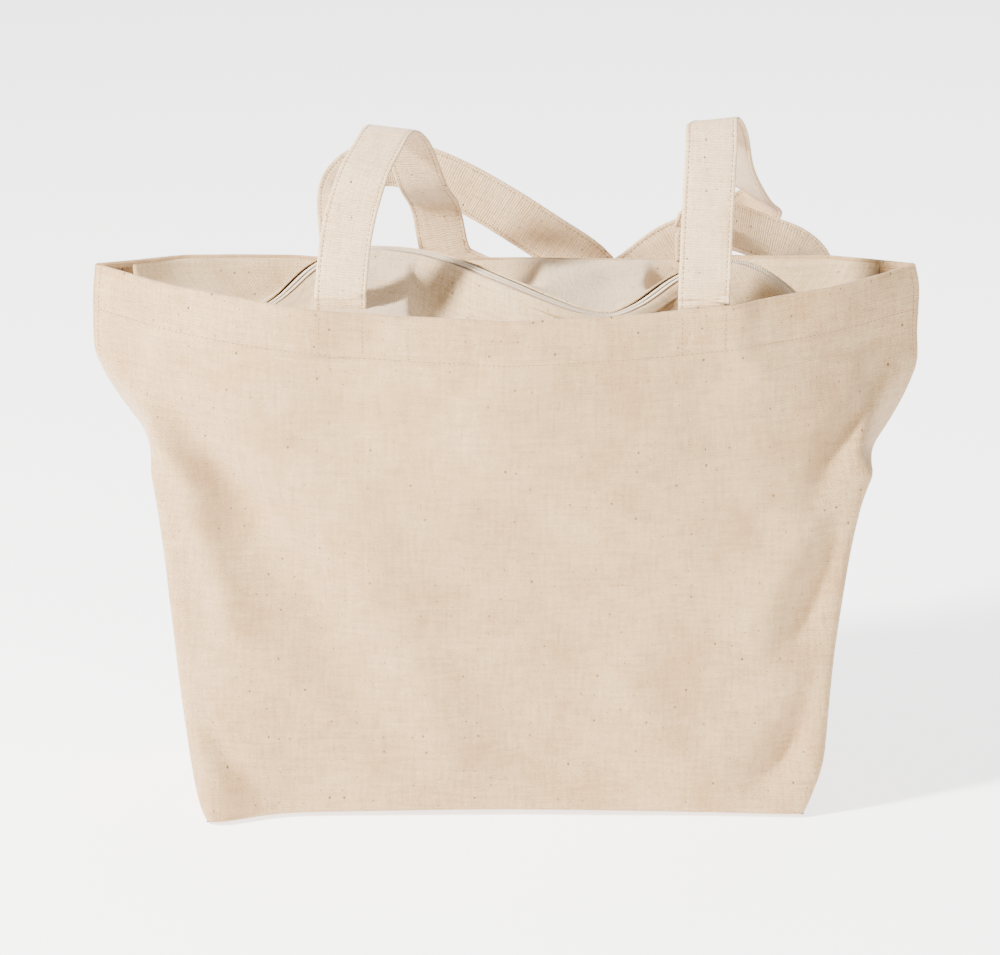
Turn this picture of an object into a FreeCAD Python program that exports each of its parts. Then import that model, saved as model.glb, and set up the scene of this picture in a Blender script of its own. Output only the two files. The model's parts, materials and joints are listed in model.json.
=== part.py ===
"""Zip-top canvas bag: two boxed canvas panels, a recessed zip closure and two long straps.

Millimetres, +Z up, +X to the bag's right seen from the front, -Y towards the front. The origin is the
middle of the base, on the surface that the bag stands on.
"""

import FreeCAD, Part
import os

import Sketcher

V = FreeCAD.Vector
doc = FreeCAD.newDocument("zip_top_bag")
sheet = doc.addObject("Spreadsheet::Sheet", "Sizes")

SIZES = {
    # canvas and hem
    "canvas": 1.2,
    "facing": 1.0,
    "layer_gap": 0.4,
    "hem_depth": 28.0,
    "binding_width": 10.0,
    "binding_thick": 0.8,
    # base
    "base_length": 375.0,
    "base_depth": 150.0,
    # level where the diagonal creases leave the sides
    "crease_height": 230.0,
    "crease_side": 216.0,
    "crease_corner": 221.0,
    "crease_corner_depth": 56.0,
    "crease_front": 84.0,
    "crease_back": 74.0,
    # foot of the ears
    "ear_height": 290.0,
    "ear_spread": 0.99,
    # rim
    "rim_height": 345.0,
    "rim_side": 260.0,
    "rim_corner": 212.0,
    "rim_corner_depth": 36.0,
    "rim_front": 79.0,
    "rim_back": 61.0,
    "front_sag": 15.0,
    "back_sag": 11.0,
    # straps
    "strap_width": 32.0,
    "strap_thick": 2.4,
    "foot_spacing": 224.0,
    "foot_shift": 10.0,
    "strap_gap": 1.5,
    "foot_rise": 3.0,
    "sewn_gap": 0.2,
    "front_rise": 88.5,
    "back_rise": 45.0,
    "front_hang": 36.0,
    "back_hang": 180.0,
    "behind_gap": 12.0,
    "strap_apart": 22.0,
    # zip
    "zip_offset": -15.0,
    "zip_drop": 29.0,
    "zip_shoulder": 10.0,
    "panel_gap": 1.0,
    "zip_length": 410.0,
    "tape_width": 13.0,
    "tape_thick": 0.6,
    "coil_width": 2.2,
    "coil_height": 1.8,
    "coil_gap": 1.6,
    "tape_overlap": 8.0,
    "tab_length": 16.0,
    "tab_thick": 1.0,
    "stop_length": 2.6,
    "stop_gap": 0.5,
    # slider and pull
    "slider_length": 11.0,
    "slider_plate": 1.1,
    "slider_lip": 0.9,
    "slider_clear": 0.4,
    "post_length": 4.0,
    "post_clear": 0.3,
    "bite": 0.2,
    "lug_length": 4.0,
    "lug_width": 2.0,
    "lug_height": 3.2,
    "pin_size": 1.2,
    "pin_clear": 0.05,
    "pull_length": 24.0,
    "pull_width": 7.0,
    "pull_thick": 1.2,
    "pull_clear": 0.4,
}

for row, (alias, value) in enumerate(SIZES.items(), start=1):
    sheet.set(f"A{row}", alias)
    sheet.set(f"B{row}", str(value))
    sheet.setAlias(f"B{row}", alias)
doc.recompute()


def cell(alias):
    """A size from the sheet, as a number."""
    return float(sheet.get(alias))


# ---------------------------------------------------------------- helpers for PartDesign bodies


def new_body(label):
    body = doc.addObject("PartDesign::Body", label)
    body.Label = label
    return body


def plane(body, role):
    return next(feature for feature in body.Origin.OriginFeatures if feature.Role == role)


def new_sketch(body, name, role, offset="0"):
    """A sketch on one of the body's own origin planes, moved along its normal by an expression."""
    sketch = body.newObject("Sketcher::SketchObject", f"{body.Name}_{name}")
    sketch.AttachmentSupport = [(plane(body, role), "")]
    sketch.MapMode = "FlatFace"
    sketch.setExpression(".AttachmentOffset.Base.z", offset)
    return sketch


def polygon(sketch, points):
    """A closed outline whose corners are pairs of expressions, each bound to the sheet."""
    spots = [V(*(float(sketch.evalExpression(axis)) for axis in point), 0) for point in points]
    count = len(spots)
    for index in range(count):
        sketch.addGeometry(Part.LineSegment(spots[index], spots[(index + 1) % count]), False)
    for index in range(count):
        sketch.addConstraint(Sketcher.Constraint("Coincident", index, 2, (index + 1) % count, 1))
    for index, (point, spot) in enumerate(zip(points, spots)):
        for kind, axis, value in zip(("DistanceX", "DistanceY"), point, spot):
            number = sketch.addConstraint(Sketcher.Constraint(kind, -1, 1, index, 1, value))
            sketch.setExpression(f"Constraints[{number}]", axis)
    return sketch


def rectangle(sketch, left, right, low, high):
    return polygon(sketch, [(left, low), (right, low), (right, high), (left, high)])


def pad(body, sketch, length, name="Pad", middle=True):
    feature = body.newObject("PartDesign::Pad", f"{body.Name}_{name}")
    feature.Profile = sketch
    feature.Midplane = middle
    feature.setExpression("Length", length)
    return feature


def cut_away(body, sketch, length, name):
    """A pocket through both sides of its sketch, checked to have taken something away."""
    doc.recompute()
    before = body.Shape.Volume
    feature = body.newObject("PartDesign::Pocket", f"{body.Name}_{name}")
    feature.Profile = sketch
    feature.Midplane = True
    feature.setExpression("Length", length)
    doc.recompute()
    if body.Shape.Volume >= before:
        raise RuntimeError(f"{feature.Name} cut nothing")
    return feature


def loft(body, sketches, name, kind="PartDesign::AdditiveLoft"):
    feature = body.newObject(kind, f"{body.Name}_{name}")
    feature.Profile = sketches[0]
    feature.Sections = sketches[1:]
    feature.Ruled = True
    return feature


def box(label, size, corner):
    """A Part::Box whose three sizes and three corner coordinates are expressions."""
    item = doc.addObject("Part::Box", label)
    item.Label = label
    for name, expression in zip(("Length", "Width", "Height"), size):
        item.setExpression(name, expression)
    for axis, expression in zip("xyz", corner):
        item.setExpression(f".Placement.Base.{axis}", expression)
    return item


# ---------------------------------------------------------------- the bag's outline at each level

def between(low, high, share):
    return f"({low}) + (({high}) - ({low})) * ({share})"


def base_level(side):
    half, deep = "Sizes.base_length / 2", "Sizes.base_depth / 2"
    return {"height": "0", "side": half, "corner": half, "corner_depth": deep, "middle": deep}


def named_level(name, side):
    cells = {key: f"Sizes.{name}_{key}" for key in ("height", "side", "corner", "corner_depth")}
    return {**cells, "middle": f"Sizes.{name}_{side}"}


def ear_level(side):
    """The rim's outline drawn in by one factor, so that the walls between the two are flat."""
    rim = named_level("rim", side)
    drawn_in = {key: f"({value}) * Sizes.ear_spread" for key, value in rim.items()}
    return {**drawn_in, "height": "Sizes.ear_height"}


def level_between(side, height):
    """The outline on the flat walls between the foot of the ears and the rim."""
    low, high = ear_level(side), named_level("rim", side)
    share = f"(({height}) - Sizes.ear_height) / (Sizes.rim_height - Sizes.ear_height)"
    return {key: between(low[key], high[key], share) for key in low}


def levels(side):
    return [base_level(side), named_level("crease", side), ear_level(side), named_level("rim", side)]


SHOULDER_ALONG, SHOULDER_OUT = 0.7, 0.64
RIM_SAG = [(0, 1.0), (0.33, 0.86), (0.66, 0.5), (1.04, 0.0)]
SAG_CUT_ABOVE, SAG_CUT_BELOW = 20, 90


def half_outline(level, side, inset="0", back_off="0"):
    """The wall's corners from the left side seam round to the right one, moved in by the inset.

    A back-off runs both ends past the seam, in line with the wall, so that a cut leaves no skin there.
    """
    sign = "-1" if side == "front" else "1"
    corner = f"({level['corner']}) - ({inset})"
    shoulder = f"({level['corner']}) * {SHOULDER_ALONG}"
    corner_y = f"{sign} * (({level['corner_depth']}) - ({inset}))"
    depth = between(level["corner_depth"], level["middle"], SHOULDER_OUT)
    shoulder_y = f"{sign} * (({depth}) - ({inset}))"
    middle_y = f"{sign} * (({level['middle']}) - ({inset}))"
    lean = f"(({level['side']}) - ({level['corner']})) / (({level['corner_depth']}) - ({inset}))"
    seam = f"({level['side']}) - ({inset}) + ({back_off}) * {lean}"
    seam_y = f"-1 * ({sign}) * ({back_off})"
    left = [(f"-({seam})", seam_y), (f"-({corner})", corner_y), (f"-({shoulder})", shoulder_y)]
    right = [(x[1:], y) for x, y in reversed(left)]
    return left + [("0", middle_y)] + right


def wall_sketches(body, side, tag, heights, inset="0", back_off="0"):
    made = []
    for number, level in enumerate(heights):
        sketch = new_sketch(body, f"{tag}{number}", "XY_Plane", level["height"])
        made.append(polygon(sketch, half_outline(level, side, inset, back_off)))
    return made


def sagging_edge(body, side, tag, drop, above):
    """A sketch of everything above (or below) the sagging line of the rim, seen from the front."""
    sketch = new_sketch(body, tag, "XZ_Plane")
    end = f"Sizes.rim_height - ({drop})"
    sag = f"Sizes.{side}_sag"
    far = f"Sizes.rim_height + {SAG_CUT_ABOVE}" if above else f"Sizes.rim_height - {SAG_CUT_BELOW}"
    line = [(f"-{along} * Sizes.rim_side", f"{end} - {sag} * {share}") for along, share in RIM_SAG[:0:-1]]
    right = [(x[1:], z) for x, z in reversed(line)]
    outer_end = f"{RIM_SAG[-1][0]} * Sizes.rim_side"
    top = [(outer_end, far), (f"-{outer_end}", far)]
    polygon(sketch, line + [("0", f"{end} - {sag} * {RIM_SAG[0][1]}")] + right + top)
    return sketch


def panel(side):
    """One canvas panel: its face, half of each side and half of the base, cut to the rim's sag."""
    body = new_body(f"{side}_panel")
    loft(body, wall_sketches(body, side, "outer", levels(side)), "wall")
    floor = {**base_level(side), "height": "Sizes.canvas"}
    inner = [floor] + levels(side)[1:]
    loft(body, wall_sketches(body, side, "inner", inner, "Sizes.canvas", "1"), "hollow",
         "PartDesign::SubtractiveLoft")
    rim = sagging_edge(body, side, "rim", "0", above=True)
    cut_away(body, rim, "4 * Sizes.base_depth", "sag")
    return body


FACING_OUT = "Sizes.canvas + Sizes.layer_gap"
FACING_IN = f"{FACING_OUT} + Sizes.facing"


def hem_facing(side):
    """The turned-in layer of cloth along the rim, lying against the panel's inner face."""
    body = new_body(f"{side}_hem_facing")
    foot = f"Sizes.rim_height - Sizes.hem_depth - Sizes.{side}_sag"
    heights = [level_between(side, foot), named_level("rim", side)]
    loft(body, wall_sketches(body, side, "outer", heights, FACING_OUT), "layer")
    loft(body, wall_sketches(body, side, "inner", heights, FACING_IN, "1"),
         "hollow", "PartDesign::SubtractiveLoft")
    cut_away(body, sagging_edge(body, side, "top", "0", above=True), "4 * Sizes.base_depth", "rim_sag")
    low = sagging_edge(body, side, "low", "Sizes.hem_depth", above=False)
    cut_away(body, low, "4 * Sizes.base_depth", "hem_sag")
    return body


def side_binding(name, sign):
    """The bound seam allowance, which stands inwards from one side seam from the base to the hem."""
    body = new_body(f"side_binding_{name}")
    top = level_between("front", "Sizes.rim_height - Sizes.hem_depth - Sizes.front_sag")
    rows = [{**base_level("front"), "height": "Sizes.canvas + Sizes.binding_thick"}]
    rows += levels("front")[1:3] + [top]
    made = []
    for number, level in enumerate(rows):
        sketch = new_sketch(body, f"row{number}", "XY_Plane", level["height"])
        outer = f"{sign} * (({level['side']}) - Sizes.canvas - 2 * Sizes.binding_thick)"
        inner = f"{outer} - {sign} * Sizes.binding_width"
        made.append(rectangle(sketch, inner, outer, "-Sizes.binding_thick / 2",
                              "Sizes.binding_thick / 2"))
    loft(body, made, "strip")
    return body


for side in ("front", "back"):
    panel(side)
    hem_facing(side)

for name, sign in (("left", "-1"), ("right", "1")):
    side_binding(name, sign)
    inner_end = "Sizes.base_length / 2 - Sizes.canvas - Sizes.binding_thick"
    start = f"-({inner_end}) - Sizes.binding_thick" if name == "left" else inner_end
    strip_y = "-Sizes.base_depth / 2 + Sizes.binding_width"
    box(f"corner_binding_{name}",
        ("Sizes.binding_thick", "Sizes.base_depth / 2 - 1.5 * Sizes.binding_width",
         "Sizes.binding_width"),
        (start, strip_y, "Sizes.canvas + Sizes.binding_thick"))

box("base_seam_binding",
    ("Sizes.base_length - 2 * Sizes.canvas", "Sizes.binding_width", "Sizes.binding_thick"),
    ("-Sizes.base_length / 2 + Sizes.canvas", "-Sizes.binding_width / 2", "Sizes.canvas"))

# ---------------------------------------------------------------- zip closure

ZIP_Z = "(Sizes.rim_height - Sizes.zip_drop)"
ZIP_Y = "Sizes.zip_offset"
CHAIN = "(Sizes.coil_gap / 2 + Sizes.coil_width)"
SEWN = "(Sizes.coil_gap / 2 + Sizes.tape_width - Sizes.tape_overlap)"


def zip_panel(side):
    """Cloth from the wall to the zip tape, level with the top of the tape that it is sewn to."""
    body = new_body(f"{side}_zip_panel")
    sign = "-1" if side == "front" else "1"
    level = level_between(side, ZIP_Z)
    outline = half_outline(level, side, f"{FACING_IN} + Sizes.panel_gap")
    edge = f"{ZIP_Y} + {sign} * {SEWN}"
    reach = "(Sizes.rim_corner + Sizes.zip_shoulder)"
    curve = outline[1:-1]
    points = [(f"-{reach}", edge)] + curve + [(reach, edge)]
    sketch = polygon(new_sketch(body, "outline", "XY_Plane", ZIP_Z), points)
    pad(body, sketch, "Sizes.canvas", middle=False)
    return body


def strip(label, side, near, wide, low, tall, reach):
    """A straight bar beside the zip's middle line, near and wide being distances from that line."""
    start = f"{ZIP_Y} + {near}" if side == "back" else f"{ZIP_Y} - ({near}) - {wide}"
    return box(label, (f"2 * ({reach})", wide, tall), (f"-({reach})", start, low))


for side in ("front", "back"):
    zip_panel(side)
    strip(f"{side}_zip_tape", side, "Sizes.coil_gap / 2", "Sizes.tape_width",
          f"{ZIP_Z} - Sizes.tape_thick", "Sizes.tape_thick", "Sizes.zip_length / 2")
    strip(f"{side}_zip_coil", side, "Sizes.coil_gap / 2", "Sizes.coil_width", ZIP_Z,
          "Sizes.coil_height", "Sizes.zip_length / 2 - Sizes.stop_length")
    near = "Sizes.coil_gap / 2" if side == "back" else CHAIN
    sign = "+" if side == "back" else "-"
    box(f"{side}_top_stop", ("Sizes.stop_length", "Sizes.coil_width", "Sizes.coil_height"),
        ("Sizes.zip_length / 2 - Sizes.stop_length", f"{ZIP_Y} {sign} {near}", ZIP_Z))

box("bottom_stop", ("Sizes.stop_length", f"2 * {CHAIN}", "Sizes.coil_height"),
    ("-Sizes.zip_length / 2", f"{ZIP_Y} - {CHAIN}", ZIP_Z))

for name, start in (("left", "-Sizes.zip_length / 2 - Sizes.tab_length"),
                    ("right", "Sizes.zip_length / 2")):
    box(f"zip_tab_{name}", ("Sizes.tab_length", f"2 * {SEWN}", "Sizes.tab_thick"),
        (start, f"{ZIP_Y} - {SEWN}", f"{ZIP_Z} - Sizes.tape_thick"))


# ---------------------------------------------------------------- slider and pull tab

SLIDER_X = "(Sizes.zip_length / 2 - Sizes.stop_length - Sizes.stop_gap - Sizes.slider_length / 2)"
SLIDER_HALF = f"({CHAIN} + Sizes.slider_clear + Sizes.slider_lip)"
SLIDER_ROOF = f"({ZIP_Z} + Sizes.coil_height + Sizes.slider_clear)"
SLIDER_FLOOR = f"({ZIP_Z} - Sizes.tape_thick - Sizes.slider_clear)"
PIN_Z = f"({SLIDER_ROOF} + Sizes.slider_plate + Sizes.lug_height / 2)"


def slider_body():
    """The slider: a roof with side lips over the coils, a floor under the tape, and a post between."""
    body = new_body("slider_body")
    low, high = f"{SLIDER_FLOOR} - Sizes.slider_plate", f"{SLIDER_ROOF} + Sizes.slider_plate"
    left, right = f"{ZIP_Y} - {SLIDER_HALF}", f"{ZIP_Y} + {SLIDER_HALF}"
    outer = rectangle(new_sketch(body, "outer", "YZ_Plane", SLIDER_X), left, right, low, high)
    pad(body, outer, "Sizes.slider_length", "block")
    lip_low = f"{ZIP_Z} + Sizes.slider_clear"
    inner_left, inner_right = f"{left} + Sizes.slider_lip", f"{right} - Sizes.slider_lip"
    far_left, far_right = f"{left} - 2", f"{right} + 2"
    path = [(far_left, SLIDER_FLOOR), (far_right, SLIDER_FLOOR), (far_right, lip_low),
            (inner_right, lip_low), (inner_right, SLIDER_ROOF), (inner_left, SLIDER_ROOF),
            (inner_left, lip_low), (far_left, lip_low)]
    way = polygon(new_sketch(body, "way", "YZ_Plane", SLIDER_X), path)
    cut_away(body, way, "Sizes.slider_length + 2", "channel")
    post_x = f"{SLIDER_X} + Sizes.slider_length / 2 - Sizes.post_length / 2 - Sizes.stop_gap"
    half = "(Sizes.coil_gap / 2 - Sizes.post_clear)"
    post = rectangle(new_sketch(body, "post", "YZ_Plane", post_x), f"{ZIP_Y} - {half}",
                     f"{ZIP_Y} + {half}", f"{SLIDER_FLOOR} - Sizes.bite", f"{SLIDER_ROOF} + Sizes.bite")
    pad(body, post, "Sizes.post_length", "post_pad")
    return body


def slider_lug():
    """The lug on the slider's roof, with the hole that the pull tab's pin turns in."""
    body = new_body("slider_lug")
    half = "Sizes.lug_length / 2"
    foot = f"{SLIDER_ROOF} + Sizes.slider_plate"
    side = rectangle(new_sketch(body, "side", "XZ_Plane", f"-({ZIP_Y})"), f"{SLIDER_X} - {half}",
                     f"{SLIDER_X} + {half}", foot, f"{foot} + Sizes.lug_height")
    pad(body, side, "Sizes.lug_width")
    hole = new_sketch(body, "hole", "XZ_Plane", f"-({ZIP_Y})")
    circle(hole, SLIDER_X, PIN_Z, "Sizes.pin_size / 2 + Sizes.pin_clear")
    cut_away(body, hole, "Sizes.lug_width + 2", "pin_hole")
    return body


def circle(sketch, x, z, radius):
    spot = V(float(sketch.evalExpression(x)), float(sketch.evalExpression(z)), 0)
    size = float(sketch.evalExpression(radius))
    sketch.addGeometry(Part.Circle(spot, V(0, 0, 1), size), False)
    for kind, value, expression in (("DistanceX", spot.x, x), ("DistanceY", spot.y, z)):
        number = sketch.addConstraint(Sketcher.Constraint(kind, -1, 1, 0, 3, value))
        sketch.setExpression(f"Constraints[{number}]", expression)
    number = sketch.addConstraint(Sketcher.Constraint("Radius", 0, size))
    sketch.setExpression(f"Constraints[{number}]", radius)
    return sketch


def pull_tab():
    """The pull: two arms beside the lug, the pin through it and a flat tab, lying towards +X."""
    body = new_body("pull_tab")
    arm = "(Sizes.lug_width / 2 + Sizes.pull_clear)"
    wide = "Sizes.pull_width / 2"
    back = f"{SLIDER_X} - Sizes.pull_thick / 2"
    front = f"{SLIDER_X} + Sizes.pull_length"
    window = f"{SLIDER_X} + Sizes.lug_length / 2 + Sizes.lug_height / 2"
    plate = rectangle(new_sketch(body, "plate", "XY_Plane", PIN_Z), back, front,
                      f"{ZIP_Y} - {wide}", f"{ZIP_Y} + {wide}")
    pad(body, plate, "Sizes.pull_thick", "plate_pad")
    slot = rectangle(new_sketch(body, "slot", "XY_Plane", PIN_Z), f"{back} - 1", window,
                     f"{ZIP_Y} - {arm}", f"{ZIP_Y} + {arm}")
    cut_away(body, slot, "Sizes.pull_thick + 2", "window")
    pin = circle(new_sketch(body, "pin", "XZ_Plane", f"-({ZIP_Y})"), SLIDER_X, PIN_Z,
                 "Sizes.pin_size / 2")
    pad(body, pin, f"2 * {arm} + 2 * Sizes.bite", "pin_pad")
    return body


slider_body()
slider_lug()
pull_tab()


# ---------------------------------------------------------------- straps

doc.recompute()
FOOT_LEFT = cell("foot_shift") - cell("foot_spacing") / 2
FOOT_RIGHT = cell("foot_shift") + cell("foot_spacing") / 2


def rim_top(side, x):
    """Height of the sagging rim at a distance from the middle."""
    along = abs(x) / cell("rim_side")
    for (low, deep), (high, shallow) in zip(RIM_SAG, RIM_SAG[1:]):
        if along <= high:
            share = deep + (shallow - deep) * (along - low) / (high - low)
            return cell("rim_height") - cell(f"{side}_sag") * share
    return cell("rim_height")


def foot_y(side):
    """Where a strap's sewn ends lie, just inside the facing at the outer edge of the further end."""
    sign = -1 if side == "front" else 1
    corner, deep, middle = cell("rim_corner"), cell("rim_corner_depth"), cell(f"rim_{side}")
    reach = FOOT_RIGHT + cell("strap_width") / 2
    shoulder, shoulder_deep = corner * SHOULDER_ALONG, deep + SHOULDER_OUT * (middle - deep)
    if reach > shoulder:
        wall = deep + (shoulder_deep - deep) * (corner - reach) / (corner - shoulder)
    else:
        wall = middle + (shoulder_deep - middle) * reach / shoulder
    layers = sum(cell(name) for name in ("canvas", "layer_gap", "facing", "sewn_gap"))
    return sign * (wall - layers - cell("strap_thick") / 2)


def strap_end(side, name, x):
    """The strap's sewn end, flat against the hem facing, from over the zip panel to over the rim."""
    low = f"{ZIP_Z} + Sizes.canvas + Sizes.layer_gap"
    size = ("Sizes.strap_width", "Sizes.strap_thick",
            f"{rim_top(side, x)} + Sizes.foot_rise - ({low})")
    corner = (f"{x} - Sizes.strap_width / 2", f"{foot_y(side)} - Sizes.strap_thick / 2", low)
    return box(f"{side}_strap_end_{name}", size, corner)


def smooth_run(stations, steps=2):
    """Adds evenly spaced centres and width directions between the stations, on a smooth curve."""
    spots = [V(*place) for place, across in stations]
    turns = [V(*across).normalize() for place, across in stations]
    spots = [spots[0] * 2 - spots[1]] + spots + [spots[-1] * 2 - spots[-2]]
    run = []
    for index in range(len(turns) - 1):
        before, here, there, after = spots[index:index + 4]
        for step in range(steps):
            t = step / steps
            bend = (here * 2 + (there - before) * t
                    + (before * 2 - here * 5 + there * 4 - after) * t ** 2
                    + (here * 3 - before - there * 3 + after) * t ** 3) * 0.5
            run.append((bend, turns[index] * (1 - t) + turns[index + 1] * t))
    return run + [(spots[-2], turns[-1])]


def ribbon(label, stations):
    """A flat strap through the stations: each a centre and the direction of the strap's width."""
    wide, thick = cell("strap_width"), cell("strap_thick")
    run = smooth_run(stations)
    centres = [place for place, across in run]
    sections = []
    for index, (place, across) in enumerate(run):
        ahead = centres[min(index + 1, len(centres) - 1)] - centres[max(index - 1, 0)]
        ahead.normalize()
        width = across - ahead * across.dot(ahead)
        width.normalize()
        face = ahead.cross(width)
        sections.append([place + width * (a * wide / 2) + face * (b * thick / 2)
                         for a, b in ((-1, -1), (1, -1), (1, 1), (-1, 1))])
    faces = [Part.Face(Part.makePolygon(end + end[:1])) for end in (sections[0], sections[-1])]
    for here, there in zip(sections, sections[1:]):
        for corner in range(4):
            after = (corner + 1) % 4
            if (there[corner] - here[corner]).dot(there[after] - here[after]) <= 0:
                raise RuntimeError(f"{label} folds back on itself near {here[corner]}")
            faces.append(Part.makeRuledSurface(Part.makeLine(here[corner], here[after]),
                                               Part.makeLine(there[corner], there[after])))
    shell = Part.makeShell(faces)
    shell.sewShape()
    solid = Part.makeSolid(shell)
    if solid.Volume < 0:
        solid.reverse()
    strap = doc.addObject("Part::Feature", label)
    strap.Label = label
    strap.Shape = solid
    length = sum((b - a).Length for a, b in zip(centres, centres[1:]))
    print(f"{label}: {length:.0f} mm along its middle, section times length "
          f"{length * wide * thick:.0f} mm3")
    return strap


behind = max(cell("rim_back"), cell("crease_back")) + cell("behind_gap")
outside = behind + cell("strap_apart")
front_y, back_y = foot_y("front"), foot_y("back")
hinge_z = {side: rim_top(side, FOOT_RIGHT) + cell("foot_rise") + cell("strap_gap")
           for side in ("front", "back")}
front_z, back_z = hinge_z["front"] + cell("strap_gap"), hinge_z["back"] + cell("strap_gap")
front_top = front_z + cell("front_rise")
back_top = back_z + cell("back_rise")
front_low = back_z - cell("front_hang")
back_low = back_z - cell("back_hang")
print(f"hinges: front {front_y:.2f} {hinge_z['front']:.2f}, back {back_y:.2f} {hinge_z['back']:.2f}")

FRONT_STRAP = [
    ((FOOT_LEFT, front_y, front_z), (1, 0, 0)),
    ((FOOT_LEFT + 4, front_y + 10, front_z + 36), (1, -0.05, 0)),
    ((FOOT_LEFT + 13, front_y + 28, front_z + 66), (0.97, -0.15, 0)),
    ((FOOT_LEFT + 22, front_y + 48, front_top - 8), (0.95, -0.3, -0.05)),
    ((FOOT_LEFT + 30, front_y + 70, front_top), (0.93, -0.36, -0.05)),
    ((FOOT_LEFT + 40, front_y + 93, front_top - 14), (0.94, -0.32, 0)),
    ((FOOT_LEFT + 49, front_y + 115, front_top - 46), (0.97, -0.2, 0.05)),
    ((FOOT_LEFT + 57, behind - 6, back_z + 20), (0.99, -0.1, 0.1)),
    ((FOOT_LEFT + 64, behind, back_z - 14), (0.94, 0, 0.35)),
    ((FOOT_LEFT + 80, behind + 1, front_low + 10), (0.72, 0, 0.7)),
    ((FOOT_LEFT + 108, behind + 1, front_low), (0.3, 0, 0.95)),
    ((FOOT_LEFT + 144, behind + 1, front_low - 4), (-0.15, 0, 1)),
    ((FOOT_LEFT + 178, behind + 1, front_low + 6), (-0.5, 0, 0.87)),
    ((FOOT_RIGHT - 16, behind + 1, back_z - 7), (-0.35, 0, 0.93)),
    ((FOOT_RIGHT + 16, behind + 1, back_z + 5), (-0.2, 0, 1)),
    ((FOOT_RIGHT + 43, behind + 8, back_z + 20), (-0.75, 0.35, 0.5)),
    ((FOOT_RIGHT + 35, front_y + 125, front_top - 52), (-0.7, 0.65, 0.25)),
    ((FOOT_RIGHT + 22, front_y + 90, front_top - 23), (-0.7, 0.6, 0.3)),
    ((FOOT_RIGHT + 13, front_y + 50, front_top + 4), (-0.88, 0.4, 0.1)),
    ((FOOT_RIGHT + 5, front_y + 24, front_top + 13), (-0.99, 0.05, -0.16)),
    ((FOOT_RIGHT + 4, front_y + 13, front_top + 2), (-1, 0, -0.05)),
    ((FOOT_RIGHT + 2, front_y + 6, front_z + 52), (-1, 0, 0)),
    ((FOOT_RIGHT, front_y, front_z), (-1, 0, 0)),
]

BACK_STRAP = [
    ((FOOT_LEFT, back_y, back_z), (1, 0, 0)),
    ((FOOT_LEFT - 3, back_y + 16, back_z + 24), (1, 0, 0)),
    ((FOOT_LEFT, outside - 13, back_top - 10), (0.85, 0, -0.5)),
    ((FOOT_LEFT + 22, outside, back_top), (0.35, 0, -0.93)),
    ((FOOT_LEFT + 50, outside, back_top - 6), (-0.3, 0, -0.95)),
    ((FOOT_LEFT + 84, outside, back_top - 22), (-0.5, 0, -0.86)),
    ((FOOT_LEFT + 128, outside, back_z - 5), (-0.55, 0, -0.84)),
    ((FOOT_LEFT + 164, outside, back_z - 33), (-0.72, 0, -0.7)),
    ((FOOT_LEFT + 190, outside, back_low + 84), (-0.85, 0, -0.5)),
    ((FOOT_LEFT + 210, outside - 2, back_low + 32), (-0.8, 0, -0.6)),
    ((FOOT_RIGHT + 10, outside - 4, back_low), (-0.2, 0, -1)),
    ((FOOT_RIGHT + 44, outside - 4, back_low + 20), (0.75, 0, -0.66)),
    ((FOOT_RIGHT + 62, outside - 4, back_low + 72), (0.98, 0, -0.2)),
    ((FOOT_RIGHT + 72, outside - 10, back_z - 60), (1, 0, -0.1)),
    ((FOOT_RIGHT + 76, outside - 22, back_z - 26), (0.95, 0.1, 0.3)),
    ((FOOT_RIGHT + 64, back_y + 24, back_z - 7), (0.6, 0.4, 0.7)),
    ((FOOT_RIGHT + 42, back_y + 18, back_z + 4), (0.1, 0.5, 0.85)),
    ((FOOT_RIGHT + 20, back_y + 8, back_z + 14), (-0.2, 0.3, 0.95)),
    ((FOOT_RIGHT + 2, back_y + 1, back_z + 17), (-0.35, 0, 0.93)),
]

for side in ("front", "back"):
    strap_end(side, "left", FOOT_LEFT)
    strap_end(side, "right", FOOT_RIGHT)
ribbon("front_strap", FRONT_STRAP)
ribbon("back_strap", BACK_STRAP)


# ---------------------------------------------------------------- checks and files

NODES = [item for item in doc.Objects
         if item.isDerivedFrom("PartDesign::Body") or item.isDerivedFrom("Part::Box")
         or item.TypeId == "Part::Feature"]


def main():
    doc.recompute()
    for item in doc.Objects:
        if {"Invalid", "Error"} & set(item.State):
            raise RuntimeError(f"{item.Name}: {item.State}")
    for item in NODES:
        if item.Shape.isNull() or not item.Shape.isValid():
            raise RuntimeError(f"{item.Label} has no valid shape")
    os.makedirs("parts", exist_ok=True)
    for item in NODES:
        item.Shape.exportStep(f"parts/{item.Label}.step")
        size = item.Shape.BoundBox
        print(f"{item.Label}: {len(item.Shape.Solids)} solid, {item.Shape.Volume:.0f} mm3, "
              f"{size.XLength:.1f} x {size.YLength:.1f} x {size.ZLength:.1f}")


main()
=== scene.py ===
# %% [markdown]
# A zip-top canvas bag. The imported CAD model is the fixed frame: it says where the rim, the base, the zip
# and the strap hinges are. Everything soft is made again here as cloth; the bag's cloth rides on an empty
# for the bag's body, and the straps are left unparented.

# %% Load the frame
import json
import math

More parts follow.
